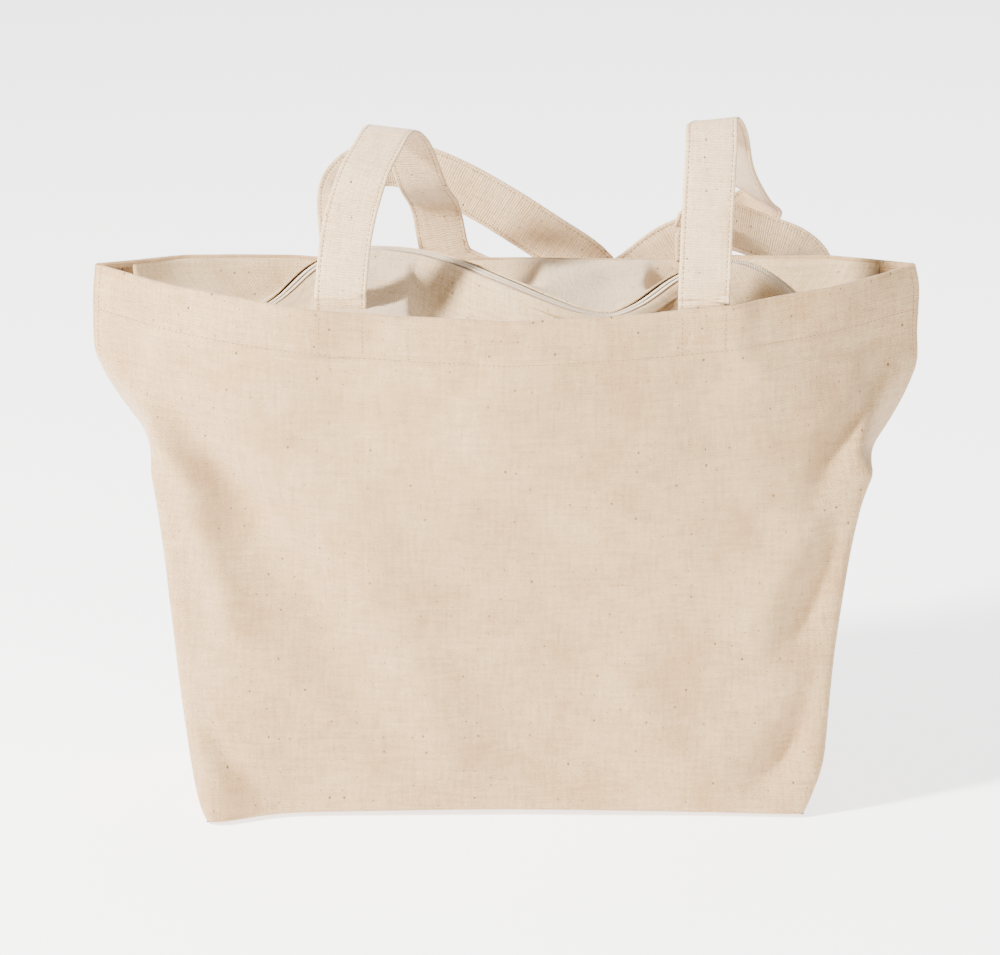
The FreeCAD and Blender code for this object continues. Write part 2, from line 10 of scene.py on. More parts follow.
import bmesh
import bpy
import numpy as np
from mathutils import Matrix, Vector


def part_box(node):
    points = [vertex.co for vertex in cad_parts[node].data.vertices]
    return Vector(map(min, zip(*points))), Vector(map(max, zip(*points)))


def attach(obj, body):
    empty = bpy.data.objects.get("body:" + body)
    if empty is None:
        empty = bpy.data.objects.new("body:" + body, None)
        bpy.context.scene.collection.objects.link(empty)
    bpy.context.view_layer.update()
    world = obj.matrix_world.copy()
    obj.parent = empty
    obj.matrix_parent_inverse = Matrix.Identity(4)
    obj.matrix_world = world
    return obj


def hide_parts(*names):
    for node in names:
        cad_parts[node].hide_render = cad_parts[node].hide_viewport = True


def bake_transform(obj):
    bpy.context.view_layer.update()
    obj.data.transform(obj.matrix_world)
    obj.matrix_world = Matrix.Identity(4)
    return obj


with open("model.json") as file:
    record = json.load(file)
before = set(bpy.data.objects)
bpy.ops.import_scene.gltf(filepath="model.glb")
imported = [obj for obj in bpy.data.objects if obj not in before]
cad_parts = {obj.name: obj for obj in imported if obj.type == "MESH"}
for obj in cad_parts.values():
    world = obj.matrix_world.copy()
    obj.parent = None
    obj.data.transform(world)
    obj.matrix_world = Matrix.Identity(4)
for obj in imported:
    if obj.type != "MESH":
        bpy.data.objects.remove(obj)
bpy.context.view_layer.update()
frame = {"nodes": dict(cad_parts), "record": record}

MM = 0.001
record = frame["record"]

# %% [markdown]
# The cloth has to meet the CAD parts it is sewn to, so the frame's own rim and zip are printed first. Most
# lengths below are in millimetres, and are scaled to metres when a mesh is made.

# %% Sizes from the frame
rim_half, _, rim_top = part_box("front_panel")[1]
zip_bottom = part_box("front_zip_coil")[0][2]
print("rim half width", round(rim_half, 4), "height", round(rim_top, 4), "zip level", round(zip_bottom, 4))


def eased(knots, where):
    """Values at the given places on a smooth line through (place, value) knots that never overshoots."""
    xs, ys = np.array(knots, float).T
    steps = np.diff(xs)
    slopes = np.diff(ys) / steps
    tangents = np.zeros_like(ys)
    for k in range(1, len(xs) - 1):
        if slopes[k - 1] * slopes[k] > 0:
            tangents[k] = 2 / (1 / slopes[k - 1] + 1 / slopes[k])
    tangents[0], tangents[-1] = slopes[0], slopes[-1]
    where = np.clip(np.asarray(where, float), xs[0], xs[-1])
    at = np.clip(np.searchsorted(xs, where, "right") - 1, 0, len(xs) - 2)
    t = (where - xs[at]) / steps[at]
    return (ys[at] * (1 + 2 * t) * (1 - t) ** 2 + ys[at + 1] * t ** 2 * (3 - 2 * t)
            + steps[at] * (tangents[at] * t * (1 - t) ** 2 + tangents[at + 1] * t ** 2 * (t - 1)))


def bump(where, middle, reach):
    """A soft hump, 1 at its middle."""
    return np.exp(-(((where - middle) / reach) ** 2))


def smoothstep(where, low, high):
    t = np.clip((where - low) / (high - low), 0, 1)
    return t * t * (3 - 2 * t)


def new_mesh(name, points, faces, uvs=None, smooth=True):
    """A mesh object at the origin, with one UV pair for each vertex in metres on the flat cloth."""
    mesh = bpy.data.meshes.new(name)
    mesh.from_pydata([tuple(p) for p in points], [], [tuple(f) for f in faces])
    if uvs is not None:
        layer = mesh.uv_layers.new(name="Cloth")
        loops = np.empty(len(mesh.loops), int)
        mesh.loops.foreach_get("vertex_index", loops)
        layer.data.foreach_set("uv", np.asarray(uvs, float)[loops].ravel())
    mesh.polygons.foreach_set("use_smooth", [smooth] * len(mesh.polygons))
    mesh.update()
    piece = bpy.data.objects.new(name, mesh)
    bpy.context.scene.collection.objects.link(piece)
    return piece


def grid_faces(rows, columns, flip=False):
    faces = []
    for r in range(rows - 1):
        for c in range(columns - 1):
            a, b = r * columns + c, r * columns + c + 1
            quad = (a, b, b + columns, a + columns)
            faces.append(quad[::-1] if flip else quad)
    return faces


def grid_piece(name, points, uv, flip=False):
    """A sheet from an array of points with rows and columns."""
    rows, columns = points.shape[:2]
    return new_mesh(name, points.reshape(-1, 3), grid_faces(rows, columns, flip), uv.reshape(-1, 2))


def thicken(piece, thickness, offset=-1.0):
    solid = piece.modifiers.new("Cloth thickness", "SOLIDIFY")
    solid.thickness = thickness
    solid.offset = offset
    solid.use_even_offset = False
    solid.use_rim = True


# %% [markdown]
# The camera looks slightly down at the front, from far enough away that the sides hardly converge.

# %% Camera, floor and light
VIEW_TILT = math.radians(15)
VIEW_DISTANCE = 3.0
LOOK_AT = Vector((-0.0038, 0, 0.2054))
camera_data = bpy.data.cameras.new("Camera")
camera_data.lens = 170
camera_data.sensor_width = 36
camera = bpy.data.objects.new("Camera", camera_data)
away = Vector((0, -math.cos(VIEW_TILT), math.sin(VIEW_TILT)))
camera.location = LOOK_AT + away * VIEW_DISTANCE
camera.rotation_euler = (-away).to_track_quat("-Z", "Y").to_euler()
bpy.context.scene.collection.objects.link(camera)
bpy.context.scene.camera = camera


def soft_light(name, place, aim, size, watts, colour=(1, 1, 1)):
    data = bpy.data.lights.new(name, "AREA")
    data.shape = "DISK"
    data.size = size
    data.energy = watts
    data.color = colour
    lamp = bpy.data.objects.new(name, data)
    lamp.location = place
    lamp.rotation_euler = (Vector(aim) - Vector(place)).to_track_quat("-Z", "Y").to_euler()
    bpy.context.scene.collection.objects.link(lamp)
    return lamp


soft_light("Key", (-2.0, -1.35, 1.75), (0, 0, 0.22), 0.4, 405, (1.0, 0.985, 0.955))
soft_light("Fill", (1.6, -3.0, 1.2), (0, 0, 0.2), 2.4, 34)
soft_light("Back", (0.7, 2.2, 2.6), (0, 0, 0.3), 1.8, 60)
world = bpy.data.worlds.new("Studio")
world.use_nodes = True
world.node_tree.nodes["Background"].inputs["Color"].default_value = (1, 1, 1, 1)
world.node_tree.nodes["Background"].inputs["Strength"].default_value = 0.78
bpy.context.scene.world = world

floor_size = 12
floor = new_mesh("floor", [(-floor_size, -floor_size, 0), (floor_size, -floor_size, 0),
                           (floor_size, floor_size, 0), (-floor_size, floor_size, 0)], [(0, 1, 2, 3)])


# %% [markdown]
# ## Materials
# The bag is unbleached cotton canvas, a little paler on the straps. The zip strips are the same canvas
# painted paler, as painted light over the shade that the straps cast on them. One shader group draws its
# weave from the cloth's own UV map, which is in metres, so the threads have their real size on every piece,
# whatever way the cloth is turned.

# %% The canvas weave group
def group_socket(tree, name, kind, way, default=None):
    socket = tree.interface.new_socket(name=name, in_out=way, socket_type=kind)
    if default is not None:
        socket.default_value = default
    return socket


def link(tree, source, target):
    tree.links.new(source, target)


def node(tree, kind, **settings):
    made = tree.nodes.new(kind)
    for key, value in settings.items():
        setattr(made, key, value)
    return made


def maths(tree, operation, first, second=None, clamp=False):
    made = node(tree, "ShaderNodeMath", operation=operation, use_clamp=clamp)
    for index, value in enumerate((first, second)):
        if value is None:
            continue
        if isinstance(value, (int, float)):
            made.inputs[index].default_value = value
        else:
            link(tree, value, made.inputs[index])
    return made.outputs[0]


def blend_colours(tree, share, first, second, kind="MIX"):
    made = node(tree, "ShaderNodeMix", data_type="RGBA", blend_type=kind)
    for index, value in ((0, share), (6, first), (7, second)):
        if isinstance(value, (int, float)):
            made.inputs[index].default_value = value
        elif isinstance(value, tuple):
            made.inputs[index].default_value = (*value, 1)
        else:
            link(tree, value, made.inputs[index])
    return made.outputs[2]


def noise(tree, vector, scale, detail=2.0, roughness=0.5, stretch=None):
    if stretch is not None:
        mapping = node(tree, "ShaderNodeMapping")
        mapping.inputs["Scale"].default_value = stretch
        link(tree, vector, mapping.inputs["Vector"])
        vector = mapping.outputs[0]
    made = node(tree, "ShaderNodeTexNoise", noise_dimensions="3D")
    made.inputs["Scale"].default_value = scale
    made.inputs["Detail"].default_value = detail
    made.inputs["Roughness"].default_value = roughness
    link(tree, vector, made.inputs["Vector"])
    return made.outputs[0]


def ramp(tree, value, low, high):
    """0 below low, 1 above high."""
    made = node(tree, "ShaderNodeMapRange", clamp=True)
    made.inputs["From Min"].default_value = low
    made.inputs["From Max"].default_value = high
    link(tree, value, made.inputs["Value"])
    return made.outputs[0]


def weave_group():
    """Thread height, fleck mask, mottling and thread tone, from a UV in metres."""
    tree = bpy.data.node_groups.new("Canvas weave", "ShaderNodeTree")
    group_socket(tree, "Flat cloth", "NodeSocketVector", "INPUT")
    group_socket(tree, "Threads per metre", "NodeSocketFloat", "INPUT", 900.0)
    group_socket(tree, "Rib", "NodeSocketFloat", "INPUT", 0.5)
    for name in ("Height", "Fleck", "Mottle", "Thread tone"):
        group_socket(tree, name, "NodeSocketFloat", "OUTPUT")
    entry, leave = node(tree, "NodeGroupInput"), node(tree, "NodeGroupOutput")
    flat, count, rib = entry.outputs[0], entry.outputs[1], entry.outputs[2]
    wobble = noise(tree, flat, 160.0, 2.0)
    nudge = maths(tree, "MULTIPLY", maths(tree, "SUBTRACT", wobble, 0.5), 0.0016)
    parts = node(tree, "ShaderNodeSeparateXYZ")
    link(tree, flat, parts.inputs[0])
    across = maths(tree, "MULTIPLY", maths(tree, "ADD", parts.outputs[0], nudge), count)
    along = maths(tree, "MULTIPLY", maths(tree, "ADD", parts.outputs[1], nudge), count)
    warp = maths(tree, "SINE", maths(tree, "MULTIPLY", across, 2 * math.pi))
    weft = maths(tree, "SINE", maths(tree, "MULTIPLY", along, 2 * math.pi))
    checks = maths(tree, "MULTIPLY", warp, weft)
    ribs = maths(tree, "ABSOLUTE", maths(tree, "SINE", maths(tree, "MULTIPLY", along, math.pi)))
    weave = maths(tree, "ADD", maths(tree, "MULTIPLY", checks, maths(tree, "SUBTRACT", 1.0, rib)),
                  maths(tree, "MULTIPLY", ribs, rib))
    slub = noise(tree, flat, 420.0, 3.0, 0.6, (1.0, 0.12, 1.0))
    slub_weft = noise(tree, flat, 420.0, 3.0, 0.6, (0.12, 1.0, 1.0))
    uneven = maths(tree, "ADD", slub, slub_weft)
    height = maths(tree, "ADD", maths(tree, "MULTIPLY", weave, 0.5), maths(tree, "MULTIPLY", uneven, 0.9))
    specks = node(tree, "ShaderNodeTexVoronoi", voronoi_dimensions="2D", feature="F1", distance="EUCLIDEAN")
    specks.inputs["Scale"].default_value = 120.0
    specks.inputs["Randomness"].default_value = 1.0
    stretch = node(tree, "ShaderNodeMapping")
    stretch.inputs["Scale"].default_value = (1.0, 0.8, 1.0)
    link(tree, flat, stretch.inputs["Vector"])
    link(tree, stretch.outputs[0], specks.inputs["Vector"])
    chance = node(tree, "ShaderNodeSeparateColor")
    link(tree, specks.outputs["Color"], chance.inputs[0])
    size = maths(tree, "MULTIPLY", maths(tree, "POWER", chance.outputs[1], 4.0), 0.05)
    size = maths(tree, "ADD", size, 0.040)
    near = maths(tree, "LESS_THAN", specks.outputs["Distance"], size)
    kept = maths(tree, "GREATER_THAN", chance.outputs[0], 0.58)
    fleck = maths(tree, "MULTIPLY", near, kept)
    mottle = noise(tree, flat, 22.0, 4.0, 0.6)
    tone = noise(tree, flat, 600.0, 2.0, 0.5)
    for index, value in enumerate((height, fleck, mottle, tone)):
        link(tree, value, leave.inputs[index])
    return tree


WEAVE = weave_group()
THREADS = 620


def cloth_material(name, light, deep, threads=900.0, rib=0.35, bump_depth=0.0008, fleck_share=0.9,
                   fleck_colour=(0.10, 0.045, 0.018)):
    """Unbleached canvas: two cotton tones, brown seed flecks, a woven bump, and painted shade in the hollows
    of the weave with a painted highlight on its raised threads.
    """
    material = bpy.data.materials.new(name)
    material.use_nodes = True
    tree = material.node_tree
    shader = tree.nodes["Principled BSDF"]
    shader.inputs["Roughness"].default_value = 0.9
    shader.inputs["Sheen Weight"].default_value = 0.25
    shader.inputs["Sheen Roughness"].default_value = 0.5
    shader.inputs["Specular IOR Level"].default_value = 0.2
    uv = node(tree, "ShaderNodeUVMap", uv_map="Cloth")
    weave = node(tree, "ShaderNodeGroup", node_tree=WEAVE)
    weave.inputs["Threads per metre"].default_value = threads
    weave.inputs["Rib"].default_value = rib
    link(tree, uv.outputs[0], weave.inputs[0])
    height, fleck, mottle, tone = weave.outputs
    base = blend_colours(tree, ramp(tree, mottle, 0.35, 0.68), deep, light)
    # Painted shade and highlight: by thread height, the colour is darkened to a warm brown in the weave's
    # hollows and lifted a little on the raised threads.
    painted_weave_shade = blend_colours(tree, ramp(tree, height, 0.55, 1.3), (0.66, 0.59, 0.48), (1.06, 1.06, 1.06))
    base = blend_colours(tree, 1.0, base, painted_weave_shade, "MULTIPLY")
    grain = blend_colours(tree, ramp(tree, tone, 0.3, 0.7), (0.82, 0.79, 0.74), (1.03, 1.03, 1.03))
    base = blend_colours(tree, 1.0, base, grain, "MULTIPLY")
    base = blend_colours(tree, maths(tree, "MULTIPLY", fleck, fleck_share), base, fleck_colour)
    link(tree, base, shader.inputs["Base Color"])
    bumped = node(tree, "ShaderNodeBump")
    bumped.inputs["Strength"].default_value = 0.7
    bumped.inputs["Distance"].default_value = bump_depth
    link(tree, height, bumped.inputs["Height"])
    link(tree, bumped.outputs[0], shader.inputs["Normal"])
    return material


canvas = cloth_material("canvas", (0.60, 0.415, 0.23), (0.505, 0.325, 0.16), THREADS)
# Painted light: the zip strips get a paler copy of the canvas, lifting the shade that the straps cast on
# them.
painted_light_zip_cloth = cloth_material("zip canvas painted light", (0.70, 0.53, 0.33), (0.62, 0.44, 0.25), THREADS)
strap_cloth = cloth_material("strap canvas", (0.715, 0.53, 0.335), (0.64, 0.45, 0.26), THREADS, rib=0.75)
tape_cloth = cloth_material("zip tape", (0.50, 0.33, 0.17), (0.42, 0.27, 0.13), 1500, rib=0.8, fleck_share=0)
binding_cloth = cloth_material("seam binding", (0.58, 0.45, 0.31), (0.52, 0.39, 0.26), 1300, rib=0.6,
                               fleck_share=0)


def plain_material(name, colour, roughness, metallic=0.0, grain_scale=900.0, grain_share=0.12):
    """Thread, nylon or enamel: one colour with a fine uneven tone on Object coordinates."""
    material = bpy.data.materials.new(name)
    material.use_nodes = True
    tree = material.node_tree
    shader = tree.nodes["Principled BSDF"]
    shader.inputs["Metallic"].default_value = metallic
    place = node(tree, "ShaderNodeTexCoord")
    grain = noise(tree, place.outputs["Object"], grain_scale, 3.0)
    darker = tuple(c * (1 - 2 * grain_share) for c in colour)
    link(tree, blend_colours(tree, ramp(tree, grain, 0.3, 0.7), darker, colour), shader.inputs["Base Color"])
    rough = node(tree, "ShaderNodeMapRange")
    rough.inputs["To Min"].default_value = roughness * 0.85
    rough.inputs["To Max"].default_value = min(1.0, roughness * 1.15)
    link(tree, grain, rough.inputs["Value"])
    link(tree, rough.outputs[0], shader.inputs["Roughness"])
    return material


thread = plain_material("cotton thread", (0.25, 0.135, 0.055), 0.85)
nylon = plain_material("zip coil nylon", (0.70, 0.58, 0.43), 0.45, grain_share=0.05)
enamel = plain_material("zip metal enamel", (0.58, 0.46, 0.30), 0.35, 0.0, 300.0, 0.04)
paper = plain_material("pale floor", (0.95, 0.95, 0.95), 0.9, 0.0, 3.0, 0.004)
paper.node_tree.nodes["Principled BSDF"].inputs["Emission Color"].default_value = (1, 1, 1, 1)
paper.node_tree.nodes["Principled BSDF"].inputs["Emission Strength"].default_value = 2.2
floor.data.materials.append(paper)
print("materials:", len(bpy.data.materials))

# %% [markdown]
# ## The two canvas panels
# Each half of the bag is one piece of cloth: half of the base, half of each side, the face, and a hem that
# turns over the rim and down inside. It is lofted through the outlines of the CAD walls, so it stands
# where they stand, and the steps between levels are softened the way that stiff canvas rounds a fold. The
# folds that belong to this bag, the diagonal creases under the ears and the tucks at the base, are then
# pushed into the sheet.

# %% Outline of the walls at any height
RIM_LEVEL = 345
LEVELS = (0, 230, 290, RIM_LEVEL)
SEAM_LINE = {
    -1: [(0, 187), (14, 193), (62, 202), (130, 210), (205, 218), (228, 222), (253, 239), (268, 249),
         (283, 257), (293, 260), (320, 260), (345, 258)],
    1: [(0, 187), (12, 192), (37, 200), (70, 203), (103, 206), (140, 211), (180, 217), (214, 225), (243, 242),
        (264, 253), (286, 260), (300, 259), (330, 260), (345, 257)],
}
OUTLINE = {
    "corner": (187, 221, 222, 205),
    "front": {"depth": (70, 56, 32, 38), "middle": (64, 82, 81, 78)},
    "back": {"depth": (72, 56, 32, 38), "middle": (70, 74, 66, 60)},
}
SAG = {"front": 21, "back": 11}
SHOULDER_ALONG, SHOULDER_OUT = 0.7, 0.64
SEAM_TO_CORNER, CORNER_TO_SHOULDER, SHOULDER_TO_MIDDLE = 26, 20, 36
BASE_ROWS, WALL_ROWS = 17, 118


def rim_level(side, x):
    share = eased([(0, 1), (0.33, 0.86), (0.66, 0.5), (1.06, 0)], np.abs(x) / 260)
    return RIM_LEVEL - SAG[side] * share


def level_value(key, z, side=None):
    table = OUTLINE[key] if side is None else OUTLINE[side][key]
    return np.interp(z, LEVELS, table)


def outline_row(side, z):
    """Points round one wall at a height, from the left seam to the right one, always in the same columns."""
    corner = level_value("corner", z)
    depth, middle = level_value("depth", z, side), level_value("middle", z, side)
    shoulder_depth = depth + SHOULDER_OUT * (middle - depth)
    runs = (SEAM_TO_CORNER, CORNER_TO_SHOULDER, SHOULDER_TO_MIDDLE)
    halves = []
    for way in (-1, 1):
        reach = float(eased(SEAM_LINE[way], z))
        box_corner = max(corner, reach + 1.5) if z < LEVELS[1] else corner
        knots = [(reach, 0), (box_corner, depth), (corner * SHOULDER_ALONG, shoulder_depth), (0, middle)]
        points = []
        for (start, end), count in zip(zip(knots, knots[1:]), runs):
            for step in range(count):
                t = step / count
                place = (start[0] + (end[0] - start[0]) * t, start[1] + (end[1] - start[1]) * t)
                points.append((way * place[0], place[1]))
        halves.append(np.array(points))
    return np.vstack([halves[0], [(0, middle)], halves[1][::-1]])


def soften(rows, passes, axis):
    """Averages each point with its neighbours along one way of the grid, and leaves both ends in place."""
    for _ in range(passes):
        middle = np.moveaxis(rows, axis, 0)
        mixed = middle.copy()
        mixed[1:-1] = 0.25 * middle[:-2] + 0.5 * middle[1:-1] + 0.25 * middle[2:]
        rows = np.moveaxis(mixed, 0, axis)
    return rows


def wall_grid(side):
    """Rows of points from the base seam, out under the base, and up the wall to the rim, in millimetres."""
    floor = outline_row(side, 0)
    base = [np.column_stack([floor[:, 0], floor[:, 1] * share, np.zeros(len(floor))])
            for share in np.linspace(0, 1, BASE_ROWS + 1)[:-1]]
    wall = []
    for share in np.linspace(0, 1, WALL_ROWS):
        row = outline_row(side, RIM_LEVEL * share)
        top = rim_level(side, row[:, 0])
        wall.append(np.column_stack([row, RIM_LEVEL * share - (RIM_LEVEL - top) * share ** 3]))
    grid = np.array(base + wall)
    grid[:, :, :2] = soften(grid[:, :, :2], 5, 0)
    grid[BASE_ROWS:, :, :2] = soften(grid[BASE_ROWS:, :, :2], 10, 1)
    grid[:, :, 2] = soften(grid[:, :, 2], 5, 0)
    return grid


front_grid, back_grid = wall_grid("front"), wall_grid("back")
print("wall grid:", front_grid.shape)

# %% [markdown]
# A fold is a line on the cloth with a width and a depth. Pushing the sheet in or out along such lines
# gives the creases that a stiff canvas keeps; a slow, seeded waviness over everything keeps any part from
# looking ironed.

# %% Folds
rng = np.random.default_rng(7)
WAVES = [(rng.uniform(0.012, 0.05), rng.uniform(0.012, 0.04), rng.uniform(0, 6.28), rng.uniform(0, 6.28))
         for _ in range(9)]


def waviness(x, z):
    total = np.zeros_like(x)
    for across, up, first, second in WAVES:
        total += np.sin(x * across + first) * np.sin(z * up + second) * (0.02 / across) ** 0.5
    return total / 3


def along_line(x, z, start, end):
    """Distance from a line, and how far along it, for points of the face seen from the front."""
    start, end = np.array(start, float), np.array(end, float)
    way = end - start
    length = np.hypot(*way)
    way /= length
    dx, dz = x - start[0], z - start[1]
    return dx * -way[1] + dz * way[0], (dx * way[0] + dz * way[1]) / length


def fold(x, z, start, end, width, depth, fade=0.25):
    """Positive depth pushes the cloth out along a line, strongest in its middle."""
    off, share = along_line(x, z, start, end)
    ends = smoothstep(share, -fade, fade) * (1 - smoothstep(share, 1 - fade, 1 + fade))
    return depth * np.exp(-((off / width) ** 2)) * ends


FOLDS = {
    "front": [
        ((-257, 290), (-200, 222), 7, 5.5), ((-252, 300), (-160, 206), 15, -13.0),
        ((-180, 226), (-95, 96), 24, -9.0), ((-205, 228), (-168, 120), 15, 8.0),
        ((-232, 276), (-178, 206), 10, 5.0), ((-120, 250), (-60, 120), 34, 3.5),
        ((256, 290), (208, 222), 7, 4.5), ((246, 296), (190, 206), 12, -8.0),
        ((222, 200), (178, 118), 14, -9.0), ((196, 214), (150, 100), 20, 5.0),
        ((228, 268), (180, 250), 9, 3.0), ((206, 128), (188, 60), 9, -5.0),
        ((-190, 58), (-146, 2), 9, -8.0), ((-192, 22), (-160, 2), 6, 5.0), ((190, 60), (150, 4), 12, -8.0),
        ((176, 90), (120, 20), 22, 4.0), ((60, 250), (120, 90), 40, 3.5), ((-30, 60), (90, 20), 24, -4.0),
        ((-60, 110), (-20, 20), 20, 3.5), ((70, 110), (110, 30), 18, 3.0),
        ((-105, 322), (-98, 240), 20, -3.0), ((125, 322), (134, 236), 20, -3.4),
        ((-60, 318), (60, 312), 12, -1.5), ((-258, 302), (-170, 292), 7, -2.8),
        ((258, 303), (176, 292), 7, -2.8), ((-180, 322), (-172, 262), 16, 2.6),
        ((196, 322), (184, 262), 16, 2.4),
    ],
    "back": [
        ((-256, 288), (-200, 220), 8, 4.5), ((-244, 298), (-160, 190), 14, -8.0),
        ((256, 288), (206, 220), 8, 4.5), ((242, 298), (172, 190), 14, -8.0),
        ((-60, 240), (40, 60), 34, -5.0), ((90, 230), (120, 60), 28, 4.5),
        ((-188, 50), (-146, 2), 10, -7.0), ((188, 50), (146, 2), 10, -7.0),
        ((-105, 322), (-100, 240), 22, -2.6), ((125, 322), (132, 236), 22, -2.6),
        ((-200, 200), (-150, 90), 20, 5.0), ((200, 190), (150, 100), 20, 5.0),
        ((-90, 150), (-50, 40), 24, 4.0), ((20, 120), (80, 20), 26, -4.0),
    ],
}
FOOT_X = (-102, 122)
FOOT_WALL = {"front": 66.6, "back": 54.6}
LEFT_FOOT_OUT = 3.6
UNDER_LIFT = 1.15


def shaped(side, grid):
    """The wall grid with its folds, its waviness and the pull of the strap feet at the rim."""
    sign = -1 if side == "front" else 1
    x, y, z = (grid[:, :, k].copy() for k in range(3))
    push = 2.4 * waviness(x + (0 if side == "front" else 400), z)
    under = z[-1][None] - z
    pucker = np.sin(x / 1.9 + 0.9 * np.sin(x / 23.0)) * 0.35 + np.sin(x / 6.1) * 0.35
    push += 0.7 * (1 - smoothstep(under, 25, 28.5)) - (0.9 + pucker) * bump(under, 27.5, 2.6)
    push += 0.5 * np.sin(x / 17.0 + 1.0) * bump(under, 0, 9) + 0.3 * np.sin(x / 7.3) * bump(under, 0, 6)
    for start, end, width, depth in FOLDS[side]:
        push += fold(x, z, start, end, width, depth)
    seam = smoothstep(np.abs(x) / np.maximum(np.abs(x).max(axis=1, keepdims=True), 1), 0.86, 0.995)
    calm = (1 - seam) * smoothstep(z, 4, 40)
    y += push * calm
    for foot in FOOT_X:
        near = smoothstep(-np.abs(x - foot), -34, -18) * smoothstep(z, 290, 312)
        further = LEFT_FOOT_OUT if side == "front" and foot < 0 else 0
        y += near * (FOOT_WALL[side] - np.abs(x) * 0.012 + further - y)
    if side == "front":
        lean = np.exp(-(((x + 186) / 30) ** 2)) * (1 - smoothstep(z, 0, 60))
        y += 16 * lean * smoothstep(y, 20, 70)
    side_face = smoothstep(np.abs(x), 150, 186) * (1 - smoothstep(z, 215, 250)) * smoothstep(z, 12, 60)
    pinch = 4.5 * np.sin(np.clip((z - 12) / 200, 0, 1) * math.pi) * (1 - np.clip(y / 62, 0, 1) ** 2)
    x -= np.sign(x) * pinch * side_face
    bottom = 1.8 * (1 - smoothstep(z, 0, 22)) * smoothstep(y, 40, 62) * (0.55 + 0.45 * np.cos(x / 60))
    z = z + np.maximum(bottom, 0) + UNDER_LIFT * (1 - smoothstep(z, 0, 4))
    return np.stack([x, sign * np.maximum(y, 0), z], axis=2)


def grid_normals(grid):
    down = np.gradient(grid, axis=0)
    across = np.gradient(grid, axis=1)
    normal = np.cross(across, down)
    return normal / np.maximum(np.linalg.norm(normal, axis=2, keepdims=True), 1e-9)


def flat_lengths(grid):
    """A UV in metres: distance along each row from the middle column, and up it from the base seam."""
    across = np.linalg.norm(np.diff(grid, axis=1), axis=2)
    middle = grid.shape[1] // 2
    u = np.zeros(grid.shape[:2])
    u[:, 1:] = np.cumsum(across, axis=1)
    u -= u[:, middle:middle + 1]
    v = np.zeros(grid.shape[:2])
    v[1:] = np.cumsum(np.linalg.norm(np.diff(grid, axis=0), axis=2), axis=0)
    v = np.repeat(v[:, middle:middle + 1], grid.shape[1], axis=1)
    return np.stack([u, v], axis=2) * MM


HEM, HEM_LAYER, HEM_ROWS = 28, 2.7, 9


def with_hem(side, grid):
    """Adds the hem: over the rim in a small round, then down inside for the hem's depth."""
    sign = -1 if side == "front" else 1
    normal = grid_normals(grid)[-1]
    outward = normal * np.sign(np.sum(normal[:, 1]) * sign)
    outward[:, 2] = 0
    outward /= np.maximum(np.linalg.norm(outward, axis=1, keepdims=True), 1e-9)
    outward[0], outward[-1] = (-0.7, sign * 0.7, 0), (0.7, sign * 0.7, 0)
    rim = grid[-1]
    rows = []
    for turn in (0.35, 0.65):
        lift = np.zeros_like(rim)
        lift[:, 2] = 0.9 * math.sin(turn * math.pi)
        rows.append(rim - outward * HEM_LAYER * turn + lift)
    for step in range(HEM_ROWS):
        share = step / (HEM_ROWS - 1)
        row_at = int(round((1 - share * HEM / RIM_LEVEL) * (WALL_ROWS - 1))) + BASE_ROWS
        wall = grid[min(row_at, grid.shape[0] - 1)].copy()
        inside = wall - outward * HEM_LAYER
        inside[:, 2] = rim[:, 2] - HEM * share - 0.4
        rows.append(inside)
    for row in rows:
        row[:, 0] = np.clip(row[:, 0], rim[0, 0] + 1.5, rim[-1, 0] - 1.5)
        row[:, 1] = sign * np.maximum(sign * row[:, 1], 0.6)
    return np.concatenate([grid, np.array(rows)])


panel_grid, panels = {}, {}
for side, start_grid in (("front", front_grid), ("back", back_grid)):
    panel_grid[side] = shaped(side, start_grid)
    whole = with_hem(side, panel_grid[side])
    piece = grid_piece(f"{side}_cloth", whole * MM, flat_lengths(whole), flip=(side == "back"))
    piece.data.materials.append(canvas)
    merged = bmesh.new()
    merged.from_mesh(piece.data)
    bmesh.ops.remove_doubles(merged, verts=merged.verts, dist=0.00005)
    merged.to_mesh(piece.data)
    merged.free()
    thicken(piece, 1.1 * MM)
    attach(piece, "bag")
    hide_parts(f"{side}_panel", f"{side}_hem_facing")
    panels[side] = piece
    print(piece.name, len(piece.data.polygons), "faces")

# %% [markdown]
# ## Straps
# A strap is canvas folded in and stitched along both long edges. It is swept along the CAD strap's own
# route, as a flat band with rounded edges, so that its two ends are sewn to the hem and its loops lie
# where the CAD has them.

# %% Routes of the straps
FOOT_LEFT, FOOT_RIGHT = FOOT_X
front_end_lo, front_end_hi = (np.array(corner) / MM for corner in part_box("front_strap_end_left"))
back_end_lo, back_end_hi = (np.array(corner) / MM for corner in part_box("back_strap_end_left"))
FRONT_Y, BACK_Y = (front_end_lo[1] + front_end_hi[1]) / 2, (back_end_lo[1] + back_end_hi[1]) / 2
HINGE = {joint["name"]: np.array(joint["pos_m"]) / MM for joint in record["behaviour"]["joints"]}
FRONT_Z, BACK_Z = HINGE["front_strap_lift"][2] + 1.5, HINGE["back_strap_lift"][2] + 1.5
FRONT_TOP, BACK_TOP = FRONT_Z + 88.5, BACK_Z + 45
FRONT_LOW, BACK_LOW = BACK_Z - 36, BACK_Z - 180
BEHIND = 86
OUTSIDE = BEHIND + 22
print("strap feet", round(FRONT_Y, 2), round(BACK_Y, 2), "tops", round(FRONT_TOP, 1), round(BACK_TOP, 1))

